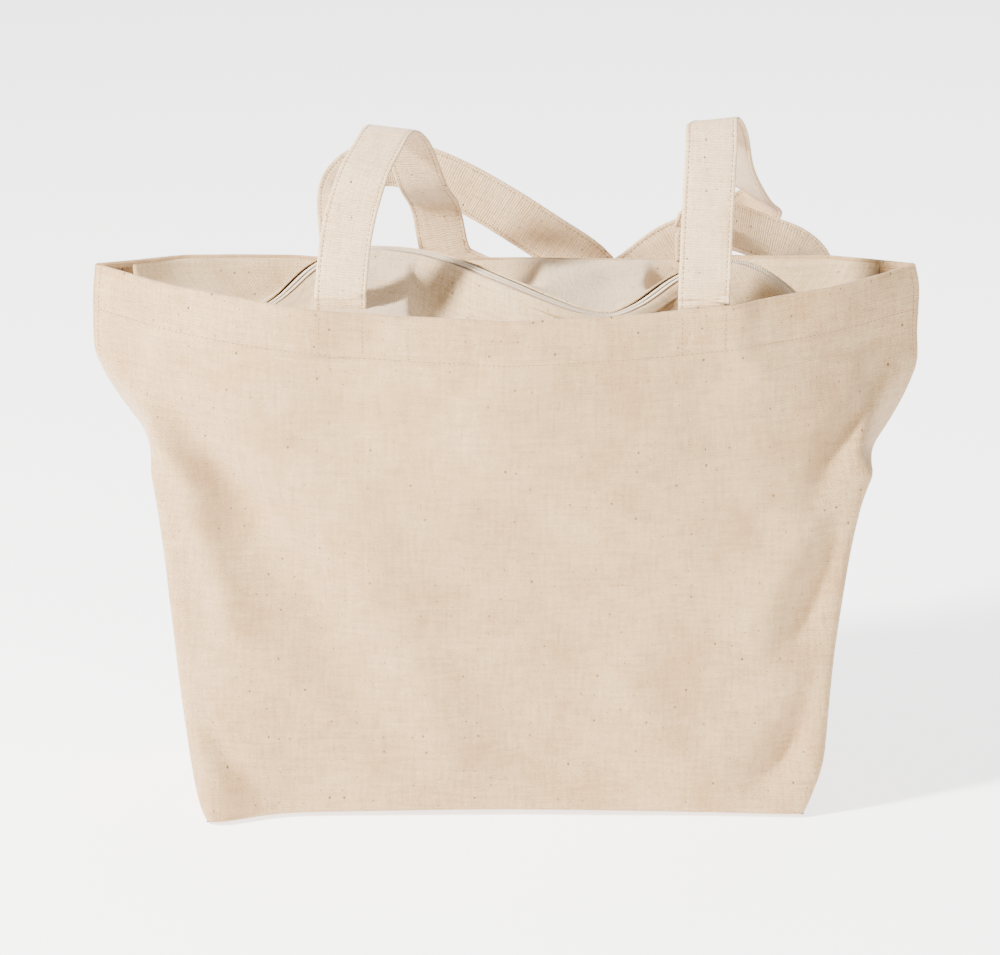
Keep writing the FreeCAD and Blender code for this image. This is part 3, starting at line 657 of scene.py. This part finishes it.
FRONT_STRAP = [
    ((FOOT_LEFT, FRONT_Y, FRONT_Z), (1, 0, 0)),
    ((FOOT_LEFT + 4, FRONT_Y + 10, FRONT_Z + 36), (1, -0.05, 0)),
    ((FOOT_LEFT + 13, FRONT_Y + 28, FRONT_Z + 66), (0.97, -0.15, 0)),
    ((FOOT_LEFT + 22, FRONT_Y + 48, FRONT_TOP - 8), (0.95, -0.3, -0.05)),
    ((FOOT_LEFT + 30, FRONT_Y + 70, FRONT_TOP), (0.93, -0.36, -0.05)),
    ((FOOT_LEFT + 40, FRONT_Y + 93, FRONT_TOP - 14), (0.94, -0.32, 0)),
    ((FOOT_LEFT + 49, FRONT_Y + 115, FRONT_TOP - 46), (0.97, -0.2, 0.05)),
    ((FOOT_LEFT + 57, BEHIND - 6, BACK_Z + 20), (0.99, -0.1, 0.1)),
    ((FOOT_LEFT + 64, BEHIND, BACK_Z - 14), (0.94, 0, 0.35)),
    ((FOOT_LEFT + 80, BEHIND + 1, FRONT_LOW + 10), (0.72, 0, 0.7)),
    ((FOOT_LEFT + 108, BEHIND + 1, FRONT_LOW), (0.3, 0, 0.95)),
    ((FOOT_LEFT + 144, BEHIND + 1, FRONT_LOW - 4), (-0.15, 0, 1)),
    ((FOOT_LEFT + 178, BEHIND + 1, FRONT_LOW + 6), (-0.5, 0, 0.87)),
    ((FOOT_RIGHT - 16, BEHIND + 1, BACK_Z - 7), (-0.35, 0, 0.93)),
    ((FOOT_RIGHT + 16, BEHIND + 1, BACK_Z + 5), (-0.2, 0, 1)),
    ((FOOT_RIGHT + 43, BEHIND + 8, BACK_Z + 20), (-0.75, 0.35, 0.5)),
    ((FOOT_RIGHT + 35, FRONT_Y + 125, FRONT_TOP - 52), (-0.7, 0.65, 0.25)),
    ((FOOT_RIGHT + 22, FRONT_Y + 90, FRONT_TOP - 23), (-0.7, 0.6, 0.3)),
    ((FOOT_RIGHT + 13, FRONT_Y + 50, FRONT_TOP + 4), (-0.88, 0.4, 0.1)),
    ((FOOT_RIGHT + 5, FRONT_Y + 24, FRONT_TOP + 13), (-0.99, 0.05, -0.16)),
    ((FOOT_RIGHT + 4, FRONT_Y + 13, FRONT_TOP + 2), (-1, 0, -0.05)),
    ((FOOT_RIGHT + 2, FRONT_Y + 6, FRONT_Z + 52), (-1, 0, 0)),
    ((FOOT_RIGHT, FRONT_Y, FRONT_Z), (-1, 0, 0)),
]

BACK_STRAP = [
    ((FOOT_LEFT, BACK_Y, BACK_Z), (1, 0, 0)),
    ((FOOT_LEFT - 3, BACK_Y + 16, BACK_Z + 24), (1, 0, 0)),
    ((FOOT_LEFT, OUTSIDE - 13, BACK_TOP - 10), (0.85, 0, -0.5)),
    ((FOOT_LEFT + 22, OUTSIDE, BACK_TOP), (0.35, 0, -0.93)),
    ((FOOT_LEFT + 50, OUTSIDE, BACK_TOP - 6), (-0.3, 0, -0.95)),
    ((FOOT_LEFT + 84, OUTSIDE, BACK_TOP - 22), (-0.5, 0, -0.86)),
    ((FOOT_LEFT + 128, OUTSIDE, BACK_Z - 5), (-0.55, 0, -0.84)),
    ((FOOT_LEFT + 164, OUTSIDE, BACK_Z - 33), (-0.72, 0, -0.7)),
    ((FOOT_LEFT + 190, OUTSIDE, BACK_LOW + 84), (-0.85, 0, -0.5)),
    ((FOOT_LEFT + 210, OUTSIDE - 2, BACK_LOW + 32), (-0.8, 0, -0.6)),
    ((FOOT_RIGHT + 10, OUTSIDE - 4, BACK_LOW), (-0.2, 0, -1)),
    ((FOOT_RIGHT + 44, OUTSIDE - 4, BACK_LOW + 20), (0.75, 0, -0.66)),
    ((FOOT_RIGHT + 62, OUTSIDE - 4, BACK_LOW + 72), (0.98, 0, -0.2)),
    ((FOOT_RIGHT + 72, OUTSIDE - 10, BACK_Z - 60), (1, 0, -0.1)),
    ((FOOT_RIGHT + 76, OUTSIDE - 22, BACK_Z - 26), (0.95, 0.1, 0.3)),
    ((FOOT_RIGHT + 64, BACK_Y + 24, BACK_Z - 7), (0.6, 0.4, 0.7)),
    ((FOOT_RIGHT + 42, BACK_Y + 18, BACK_Z + 4), (0.1, 0.5, 0.85)),
    ((FOOT_RIGHT + 20, BACK_Y + 8, BACK_Z + 14), (-0.2, 0.3, 0.95)),
    ((FOOT_RIGHT + 2, BACK_Y + 1, BACK_Z + 17), (-0.35, 0, 0.93)),
]

# %% Sweeping a band along its route
def smooth_line(points, steps):
    """A smooth line through the points, with the given number of steps between each two."""
    points = np.array(points, float)
    padded = np.vstack([2 * points[0] - points[1], points, 2 * points[-1] - points[-2]])
    line = []
    for k in range(len(points) - 1):
        before, here, there, after = padded[k:k + 4]
        for step in range(steps):
            t = step / steps
            line.append(0.5 * (2 * here + (there - before) * t
                               + (2 * before - 5 * here + 4 * there - after) * t ** 2
                               + (3 * here - before - 3 * there + after) * t ** 3))
    return np.array(line + [points[-1]])


def unit(vectors):
    return vectors / np.maximum(np.linalg.norm(vectors, axis=-1, keepdims=True), 1e-9)


def band_frames(stations, foot_depth, steps=7):
    """Centres, width directions and face directions down the whole strap, its sewn ends included."""
    places = [np.array(place, float) for place, across in stations]
    turns = [unit(np.array(across, float)) for place, across in stations]
    for end, spot, turn in ((0, places[0], turns[0]), (-1, places[-1], turns[-1])):
        feet = [(spot + (0, 0, -drop), turn) for drop in (foot_depth, foot_depth * 0.5, 5)]
        if end == 0:
            places = [place for place, _ in feet] + places
            turns = [turn for _, turn in feet] + turns
        else:
            places += [place for place, _ in reversed(feet)]
            turns += [turn for _, turn in reversed(feet)]
    centre = smooth_line(places, steps)
    across = smooth_line(turns, steps)
    centre = soften(centre, 3, 0)
    ahead = unit(np.gradient(centre, axis=0))
    across = unit(across - ahead * np.sum(ahead * across, axis=1, keepdims=True))
    return centre, across, np.cross(ahead, across)


STRAP_HALF, STRAP_SEAM = 16.0, 13.4


def band_profile():
    """Half of a strap's section: two plies, pressed down along the rows of stitching near each edge."""
    spots = [(-16.0, 0.0), (-15.85, 0.62), (-15.4, 1.02), (-14.6, 1.16), (-13.9, 1.04), (-13.4, 0.9),
             (-12.9, 1.02), (-12.0, 1.2), (-8.0, 1.26), (-3.0, 1.22)]
    upper = spots + [(0.0, 1.2)] + [(-a, b) for a, b in reversed(spots)]
    lower = [(a, -b) for a, b in reversed(upper[1:-1])]
    return np.array(upper + lower)


def band_piece(name, frames):
    centre, across, face = frames
    profile = band_profile()
    count, ring = len(centre), len(profile)
    length = np.concatenate([[0], np.cumsum(np.linalg.norm(np.diff(centre, axis=0), axis=1))])
    ripple = 0.25 * np.sin(length / 11.0) + 0.2 * np.sin(length / 4.7 + 1.3)
    points = np.zeros((count, ring, 3))
    uv = np.zeros((count, ring, 2))
    around = np.concatenate([[0], np.cumsum(np.linalg.norm(np.diff(profile, axis=0), axis=1))])
    for k, (a, b) in enumerate(profile):
        edge = 1 + 0.012 * ripple * (abs(a) > 12)
        points[:, k] = centre + across * (a * edge)[:, None] + face * b
        uv[:, k] = np.column_stack([np.full(count, around[k] - STRAP_HALF), length])
    verts = list(points.reshape(-1, 3))
    faces = []
    for r in range(count - 1):
        for k in range(ring):
            n = (k + 1) % ring
            faces.append((r * ring + k, (r + 1) * ring + k, (r + 1) * ring + n, r * ring + n))
    faces.append(tuple(range(ring)))
    faces.append(tuple((count - 1) * ring + k for k in reversed(range(ring))))
    piece = new_mesh(name, np.array(verts) * MM, faces, uv.reshape(-1, 2) * MM)
    checked = bmesh.new()
    checked.from_mesh(piece.data)
    bmesh.ops.recalc_face_normals(checked, faces=checked.faces)
    checked.to_mesh(piece.data)
    checked.free()
    piece.data.materials.append(strap_cloth)
    return piece, length[-1]


# %% The two straps
SEWN_DEPTH = 25
BLEND = {
    "front": ("front_handle", (0, FRONT_Y, FRONT_Z - 1.5), (0, 0.5, 0.866)),
    "back": ("back_handle", (0, BACK_Y, BACK_Z - 1.5), (0, 0.985, 0.17)),
}


def bend_with(piece, side):
    """Bakes a strap piece's placement into its mesh; the piece is not bent at the rim."""
    body, start, way = BLEND[side]
    start = np.array(start) * MM
    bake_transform(piece)


straps, strap_frames, strap_length = {}, {}, {}
for side, stations in (("front", FRONT_STRAP), ("back", BACK_STRAP)):
    strap_frames[side] = band_frames(stations, SEWN_DEPTH)
    straps[side], strap_length[side] = band_piece(f"{side}_strap_band", strap_frames[side])
    bend_with(straps[side], side)
    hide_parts(f"{side}_strap", f"{side}_strap_end_left", f"{side}_strap_end_right")
    print(straps[side].name, round(strap_length[side]), "mm long")

# %% [markdown]
# ## Zip closure
# Two slack strips of canvas run from the rim to the zip, which wanders from the back rim to the front rim
# and up again at the right. The strips are ruled between the rim and the zip's line, and sag by as much as
# they are too wide for the gap.

# %% Line of the zip
ZIP_KNOTS_Y = [(-222, -15), (-158, -15), (-142, -8), (-118, 15), (-98, 36), (-82, 41), (-60, 32), (-27, 5),
               (-1, -25), (25, -44), (48, -54), (64, -55), (79, -50), (109, -24), (128, -14), (142, -11),
               (154, -13), (180, -14.5), (190, -15), (222, -15)]
ZIP_KNOTS_Z = [(-222, 316), (-158, 316), (-144, 322), (-118, 340), (-98, 344), (-82, 345), (-60, 345),
               (-27, 342), (-1, 338), (25, 331), (48, 325), (64, 323), (79, 327), (109, 341), (128, 346),
               (142, 348), (154, 345), (168, 337), (180, 326), (188, 316.5), (192, 316), (222, 316)]
TAB_END = 221


def zip_line(x):
    return np.column_stack([x, eased(ZIP_KNOTS_Y, x), eased(ZIP_KNOTS_Z, x)])


zip_x = np.linspace(-TAB_END, TAB_END, 260)
zip_centre = soften(zip_line(zip_x), 6, 0)
zip_ahead = unit(np.gradient(zip_centre, axis=0))
zip_side = unit(np.cross((0, 0, 1), zip_ahead))
zip_up = np.cross(zip_ahead, zip_side)
print("zip line", round(float(np.sum(np.linalg.norm(np.diff(zip_centre, axis=0), axis=1)))), "mm")

# %% Slack canvas strips
ZIP_EDGE = 6.2
STRIP_WIDTH = {"front": 98, "back": 96}
STRIP_COLUMNS, STRIP_ROWS = 150, 30
RIM_REACH, DEEPEST_SAG = 236, 34
strips = {}


def rim_point(side, x):
    """Inner side of the rim, just under its top edge."""
    rim = panel_grid[side][-1]
    order = np.argsort(rim[:, 0])
    y = np.interp(x, rim[order, 0], rim[order, 1])
    z = np.interp(x, rim[order, 0], rim[order, 2])
    sign = -1 if side == "front" else 1
    return np.column_stack([x, y - sign * 1.5, z - 0.6])


def picked(table, places):
    """Rows of a table at places between its rows."""
    return np.stack([np.interp(places, np.arange(len(table)), table[:, k]) for k in range(3)], axis=1)


for side in ("front", "back"):
    sign = -1 if side == "front" else 1
    share = np.linspace(-1, 1, STRIP_COLUMNS)
    rim_edge = rim_point(side, share * RIM_REACH)
    along = np.interp(share * TAB_END, zip_x, np.arange(len(zip_x)))
    zip_edge = (picked(zip_centre, along) + sign * ZIP_EDGE * picked(zip_side, along)
                + 0.3 * picked(zip_up, along))
    gap = np.linalg.norm(zip_edge - rim_edge, axis=1)
    wanted = STRIP_WIDTH[side] * (1 - 0.5 * np.abs(share) ** 3)
    spare = np.maximum(wanted / gap, 1.0) - 1
    sag = np.minimum(gap * np.sqrt(0.375 * spare), DEEPEST_SAG)
    t = np.linspace(0, 1, STRIP_ROWS)[:, None, None]
    sheet_points = rim_edge[None] * (1 - t) + zip_edge[None] * t
    dip = 6.75 * t[..., 0] * (1 - t[..., 0]) ** 2
    sheet_points[..., 2] -= dip * sag[None]
    wrinkle = np.sin(share * 31 + 5.0 * t[..., 0]) * 0.8 + np.sin(share * 13 + 1.0 - 3.0 * t[..., 0]) * 1.8
    sheet_points[..., 2] += dip * wrinkle
    piece = grid_piece(f"{side}_zip_strip", sheet_points * MM, flat_lengths(sheet_points),
                       flip=(side == "front"))
    # The paler zip canvas is painted light over the straps' shade.
    piece.data.materials.append(painted_light_zip_cloth)
    thicken(piece, 1.0 * MM)
    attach(piece, "bag")
    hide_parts(f"{side}_zip_panel")
    strips[side] = sheet_points
    print(piece.name, "sags up to", round(float(sag.max())), "mm")

# %% [markdown]
# ## What repeats: stitches and zip teeth
# A row of stitches is one small rounded piece of thread, again and again along a seam. Geometry Nodes puts
# it on each point of a line, turned to the line's own direction, and the same tree makes the zip's teeth
# from a narrower, taller piece set across the line.

# %% The tree that repeats a small rounded piece
def repeat_tree():
    tree = bpy.data.node_groups.new("Repeat along a seam", "GeometryNodeTree")
    group_socket(tree, "Geometry", "NodeSocketGeometry", "INPUT")
    for name, value in (("Length", 0.003), ("Width", 0.0005), ("Height", 0.0005), ("Unevenness", 0.1)):
        group_socket(tree, name, "NodeSocketFloat", "INPUT", value)
    group_socket(tree, "Seed", "NodeSocketInt", "INPUT", 3)
    group_socket(tree, "Finish", "NodeSocketMaterial", "INPUT")
    group_socket(tree, "Geometry", "NodeSocketGeometry", "OUTPUT")
    entry, leave = node(tree, "NodeGroupInput"), node(tree, "NodeGroupOutput")
    points = node(tree, "GeometryNodeMeshToPoints")
    link(tree, entry.outputs["Geometry"], points.inputs["Mesh"])
    grain = node(tree, "GeometryNodeMeshUVSphere")
    grain.inputs["Segments"].default_value = 7
    grain.inputs["Rings"].default_value = 5
    grain.inputs["Radius"].default_value = 0.5
    turned = []
    for name in ("way", "out"):
        attribute = node(tree, "GeometryNodeInputNamedAttribute", data_type="FLOAT_VECTOR")
        attribute.inputs["Name"].default_value = name
        turned.append(attribute.outputs["Attribute"])
    first = node(tree, "FunctionNodeAlignRotationToVector", axis="X")
    link(tree, turned[0], first.inputs["Vector"])
    second = node(tree, "FunctionNodeAlignRotationToVector", axis="Z", pivot_axis="X")
    link(tree, first.outputs[0], second.inputs["Rotation"])
    link(tree, turned[1], second.inputs["Vector"])
    random = node(tree, "FunctionNodeRandomValue", data_type="FLOAT")
    link(tree, maths(tree, "SUBTRACT", 1.0, entry.outputs["Unevenness"]), random.inputs["Min"])
    link(tree, maths(tree, "ADD", 1.0, entry.outputs["Unevenness"]), random.inputs["Max"])
    link(tree, entry.outputs["Seed"], random.inputs["Seed"])
    size = node(tree, "ShaderNodeCombineXYZ")
    link(tree, maths(tree, "MULTIPLY", entry.outputs["Length"], random.outputs["Value"]), size.inputs[0])
    link(tree, entry.outputs["Width"], size.inputs[1])
    link(tree, entry.outputs["Height"], size.inputs[2])
    placed = node(tree, "GeometryNodeInstanceOnPoints")
    link(tree, points.outputs[0], placed.inputs["Points"])
    link(tree, grain.outputs[0], placed.inputs["Instance"])
    link(tree, second.outputs[0], placed.inputs["Rotation"])
    link(tree, size.outputs[0], placed.inputs["Scale"])
    real = node(tree, "GeometryNodeRealizeInstances")
    link(tree, placed.outputs[0], real.inputs[0])
    smooth = node(tree, "GeometryNodeSetShadeSmooth")
    link(tree, real.outputs[0], smooth.inputs["Geometry"])
    finish = node(tree, "GeometryNodeSetMaterial")
    link(tree, smooth.outputs[0], finish.inputs["Geometry"])
    link(tree, entry.outputs["Finish"], finish.inputs["Material"])
    link(tree, finish.outputs[0], leave.inputs[0])
    return tree


REPEAT = repeat_tree()


def repeated(name, runs, sizes, material, unevenness=0.12, seed=3):
    """One plain mesh of small pieces: each run is (places, ways, outs) in millimetres."""
    places, ways, outs = (np.concatenate([run[k] for run in runs]) for k in range(3))
    mesh = bpy.data.meshes.new(name)
    mesh.from_pydata([tuple(p) for p in places * MM], [], [])
    for attribute, values in (("way", ways), ("out", outs)):
        layer = mesh.attributes.new(attribute, "FLOAT_VECTOR", "POINT")
        layer.data.foreach_set("vector", unit(values).ravel())
    piece = bpy.data.objects.new(name, mesh)
    bpy.context.scene.collection.objects.link(piece)
    modifier = piece.modifiers.new("Repeat", "NODES")
    modifier.node_group = REPEAT
    values = {"Length": sizes[0] * MM, "Width": sizes[1] * MM, "Height": sizes[2] * MM,
              "Unevenness": unevenness, "Seed": seed, "Finish": material}
    for item in REPEAT.interface.items_tree:
        if item.in_out == "INPUT" and item.name in values:
            modifier[item.identifier] = values[item.name]
    bpy.context.view_layer.update()
    seen = piece.evaluated_get(bpy.context.evaluated_depsgraph_get())
    result = bpy.data.meshes.new_from_object(seen)
    piece.modifiers.clear()
    piece.data = result
    print(name, len(places), "pieces", len(result.polygons), "faces")
    return piece


def spaced(line, outs, pitch, lift=0.0, shift=0.0):
    """Even places along a line, with the line's way and the surface's outward direction at each."""
    run = np.concatenate([[0], np.cumsum(np.linalg.norm(np.diff(line, axis=0), axis=1))])
    at = np.arange(pitch / 2 + shift, run[-1], pitch)
    place = np.stack([np.interp(at, run, line[:, k]) for k in range(3)], axis=1)
    out = unit(np.stack([np.interp(at, run, outs[:, k]) for k in range(3)], axis=1))
    way = unit(np.gradient(line, axis=0))
    way = unit(np.stack([np.interp(at, run, way[:, k]) for k in range(3)], axis=1))
    return place + out * lift, way, out


# %% Seams on the panels
def below_rim(side, drop, inside=False, low=None, high=None):
    """A line on the panel at a depth under the rim, with outward directions, from x low to x high."""
    grid = panel_grid[side][BASE_ROWS:]
    normal = grid_normals(panel_grid[side])[BASE_ROWS:]
    sign = -1 if side == "front" else 1
    normal = normal * np.sign(np.mean(normal[..., 1]) * sign)
    line, outs = [], []
    for k in range(2, grid.shape[1] - 2):
        column = grid[:, k]
        target = column[-1, 2] - drop
        if low is not None and not low <= column[-1, 0] <= high:
            continue
        spot = [np.interp(target, column[:, 2], column[:, axis]) for axis in range(3)]
        out = unit(np.array([np.interp(target, column[:, 2], normal[:, k, axis]) for axis in range(3)]))
        line.append(np.array(spot) - out * (HEM_LAYER if inside else 0))
        outs.append(-out if inside else out)
    return np.array(line), np.array(outs)


def down_panel(side, x, top, bottom, inside=False):
    """A line down the panel at a distance from the middle."""
    line, outs = [], []
    for drop in np.linspace(top, bottom, 12):
        row, out = below_rim(side, drop, inside)
        line.append([np.interp(x, row[:, 0], row[:, k]) for k in range(3)])
        outs.append([np.interp(x, row[:, 0], out[:, k]) for k in range(3)])
    return np.array(line), np.array(outs)


STITCH = (2.2, 0.6, 0.55)
STITCH_PITCH = 3.1
HEM_STITCH, RIM_STITCH, SIDE_STITCH_FROM = 27.0, 3.2, 284
for side in ("front", "back"):
    runs = [spaced(*below_rim(side, HEM_STITCH), STITCH_PITCH),
            spaced(*below_rim(side, HEM_STITCH, True), STITCH_PITCH),
            spaced(*below_rim(side, RIM_STITCH, True), STITCH_PITCH)]
    if side == "back":
        runs.append(spaced(*below_rim(side, RIM_STITCH), STITCH_PITCH))
    for foot in FOOT_X:
        for edge in (-STRAP_SEAM, STRAP_SEAM):
            runs.append(spaced(*down_panel(side, foot + edge, 3, 26), STITCH_PITCH))
    for column in (2, -3):
        grid = panel_grid[side]
        rows = [r for r in range(BASE_ROWS, len(grid)) if grid[r, column, 2] > SIDE_STITCH_FROM]
        normal = grid_normals(grid)[rows, column]
        normal = normal * np.sign(np.mean(normal[:, 1]) * (-1 if side == "front" else 1))
        runs.append(spaced(grid[rows, column], normal, STITCH_PITCH))
    seams = repeated(f"{side}_seam_stitches", runs, STITCH, thread)
    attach(seams, "bag")

# %% Seams on the straps
for side in ("front", "back"):
    centre, across, face = strap_frames[side]
    runs = [spaced(centre + across * edge + face * flat * 0.93, face * flat, STITCH_PITCH)
            for edge in (-STRAP_SEAM, STRAP_SEAM) for flat in (-1, 1)]
    seams = repeated(f"{side}_strap_stitches", runs, STITCH, thread)
    bend_with(seams, side)

# %% [markdown]
# A coil zip shows two rows of close, rounded turns of nylon, each sewn to the edge of a woven tape. The
# tapes are swept along the zip's line, and the turns are set across it by the same tree as the stitches.

# %% Tapes, teeth and topstitching
for side in ("front", "back"):
    sign = -1 if side == "front" else 1
    offsets = ((0.6, 0.0), (2.0, 0.0), (3.4, 0.0), (4.8, -0.1), (6.2, -0.9), (8.2, -2.2), (11.0, -4.0))
    tape = np.stack([zip_centre + sign * out * zip_side + (lift - 0.2) * zip_up for out, lift in offsets])
    piece = grid_piece(f"{side}_tape_strip", tape * MM, flat_lengths(tape), flip=(side == "front"))
    piece.data.materials.append(tape_cloth)
    thicken(piece, 0.5 * MM)
    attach(piece, "bag")
    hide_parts(f"{side}_zip_tape")

    inner = np.abs(zip_centre[:, 0]) < 202.4
    row = zip_centre[inner] + sign * 1.85 * zip_side[inner] + 0.75 * zip_up[inner]
    place, way, out = spaced(row, zip_up[inner], 1.15, shift=0.0 if side == "front" else 0.57)
    teeth = repeated(f"{side}_coil_teeth", [(place, np.cross(out, way), out)], (2.5, 0.95, 1.7), nylon, 0.03)
    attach(teeth, "bag")
    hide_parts(f"{side}_zip_coil")

    strip = strips[side]
    line = strip[-1] + 2.0 * unit(strip[-3] - strip[-1])
    outs = grid_normals(strip)[-2]
    outs = outs * np.sign(outs[:, 2:])
    seams = repeated(f"{side}_zip_stitches", [spaced(line, outs, STITCH_PITCH, 0.15)], STITCH, thread)
    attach(seams, "bag")

# %% [markdown]
# ## Bound seams inside
# The raw edges of the side seams, the base seam and the boxed corners are wrapped in a narrow tape. They
# only show from above with the zip open, so they are plain strips that follow the sewn cloth.

# %% Seam bindings
def binding_strip(name, line, inward, node_name, width=10.0):
    line, inward = np.array(line, float), np.array(inward, float)
    rows = np.stack([line + inward * (width * share) for share in np.linspace(0, 1, 5)])
    piece = grid_piece(name, rows * MM, flat_lengths(rows))
    piece.data.materials.append(binding_cloth)
    thicken(piece, 0.8 * MM, 0.0)
    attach(piece, "bag")
    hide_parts(node_name)
    return piece


for name, column, way in (("left", 0, 1), ("right", -1, -1)):
    seam = panel_grid["front"][BASE_ROWS:, column]
    seam = seam[(seam[:, 2] > 4) & (seam[:, 2] < 298)][::3]
    line = seam + (way * 2.0, 0, 0)
    inward = np.tile((way, 0, 0), (len(line), 1))
    binding_strip(f"side_seam_tape_{name}", line, inward, f"side_binding_{name}")
    steps = np.linspace(-60, -8, 12)
    corner = np.column_stack([np.full(12, -way * 180.0), steps, np.full(12, 2.2)])
    binding_strip(f"corner_seam_tape_{name}", corner, np.tile((0, 0, 1.0), (12, 1)), f"corner_binding_{name}")
steps = np.linspace(-178, 178, 40)
base_line = np.column_stack([steps, np.full(40, -4.5), np.full(40, 2.0)])
binding_strip("base_seam_tape", base_line, np.tile((0, 1.0, 0), (40, 1)), "base_seam_binding")

# %% Finishes of the CAD nodes that stay
tab_cotton = plain_material("zip tab cotton", (0.56, 0.43, 0.28), 0.9, grain_scale=1400.0, grain_share=0.1)
KEPT = {"slider_body": enamel, "slider_lug": enamel, "pull_tab": enamel, "front_top_stop": enamel,
        "back_top_stop": enamel, "bottom_stop": enamel,
        "zip_tab_left": tab_cotton, "zip_tab_right": tab_cotton}
for name, material in KEPT.items():
    kept = frame["nodes"][name]
    if kept.material_slots:
        for kept_slot in kept.material_slots:
            kept_slot.material = material
    else:
        kept.data.materials.append(material)
print("finished CAD nodes:", len(KEPT))
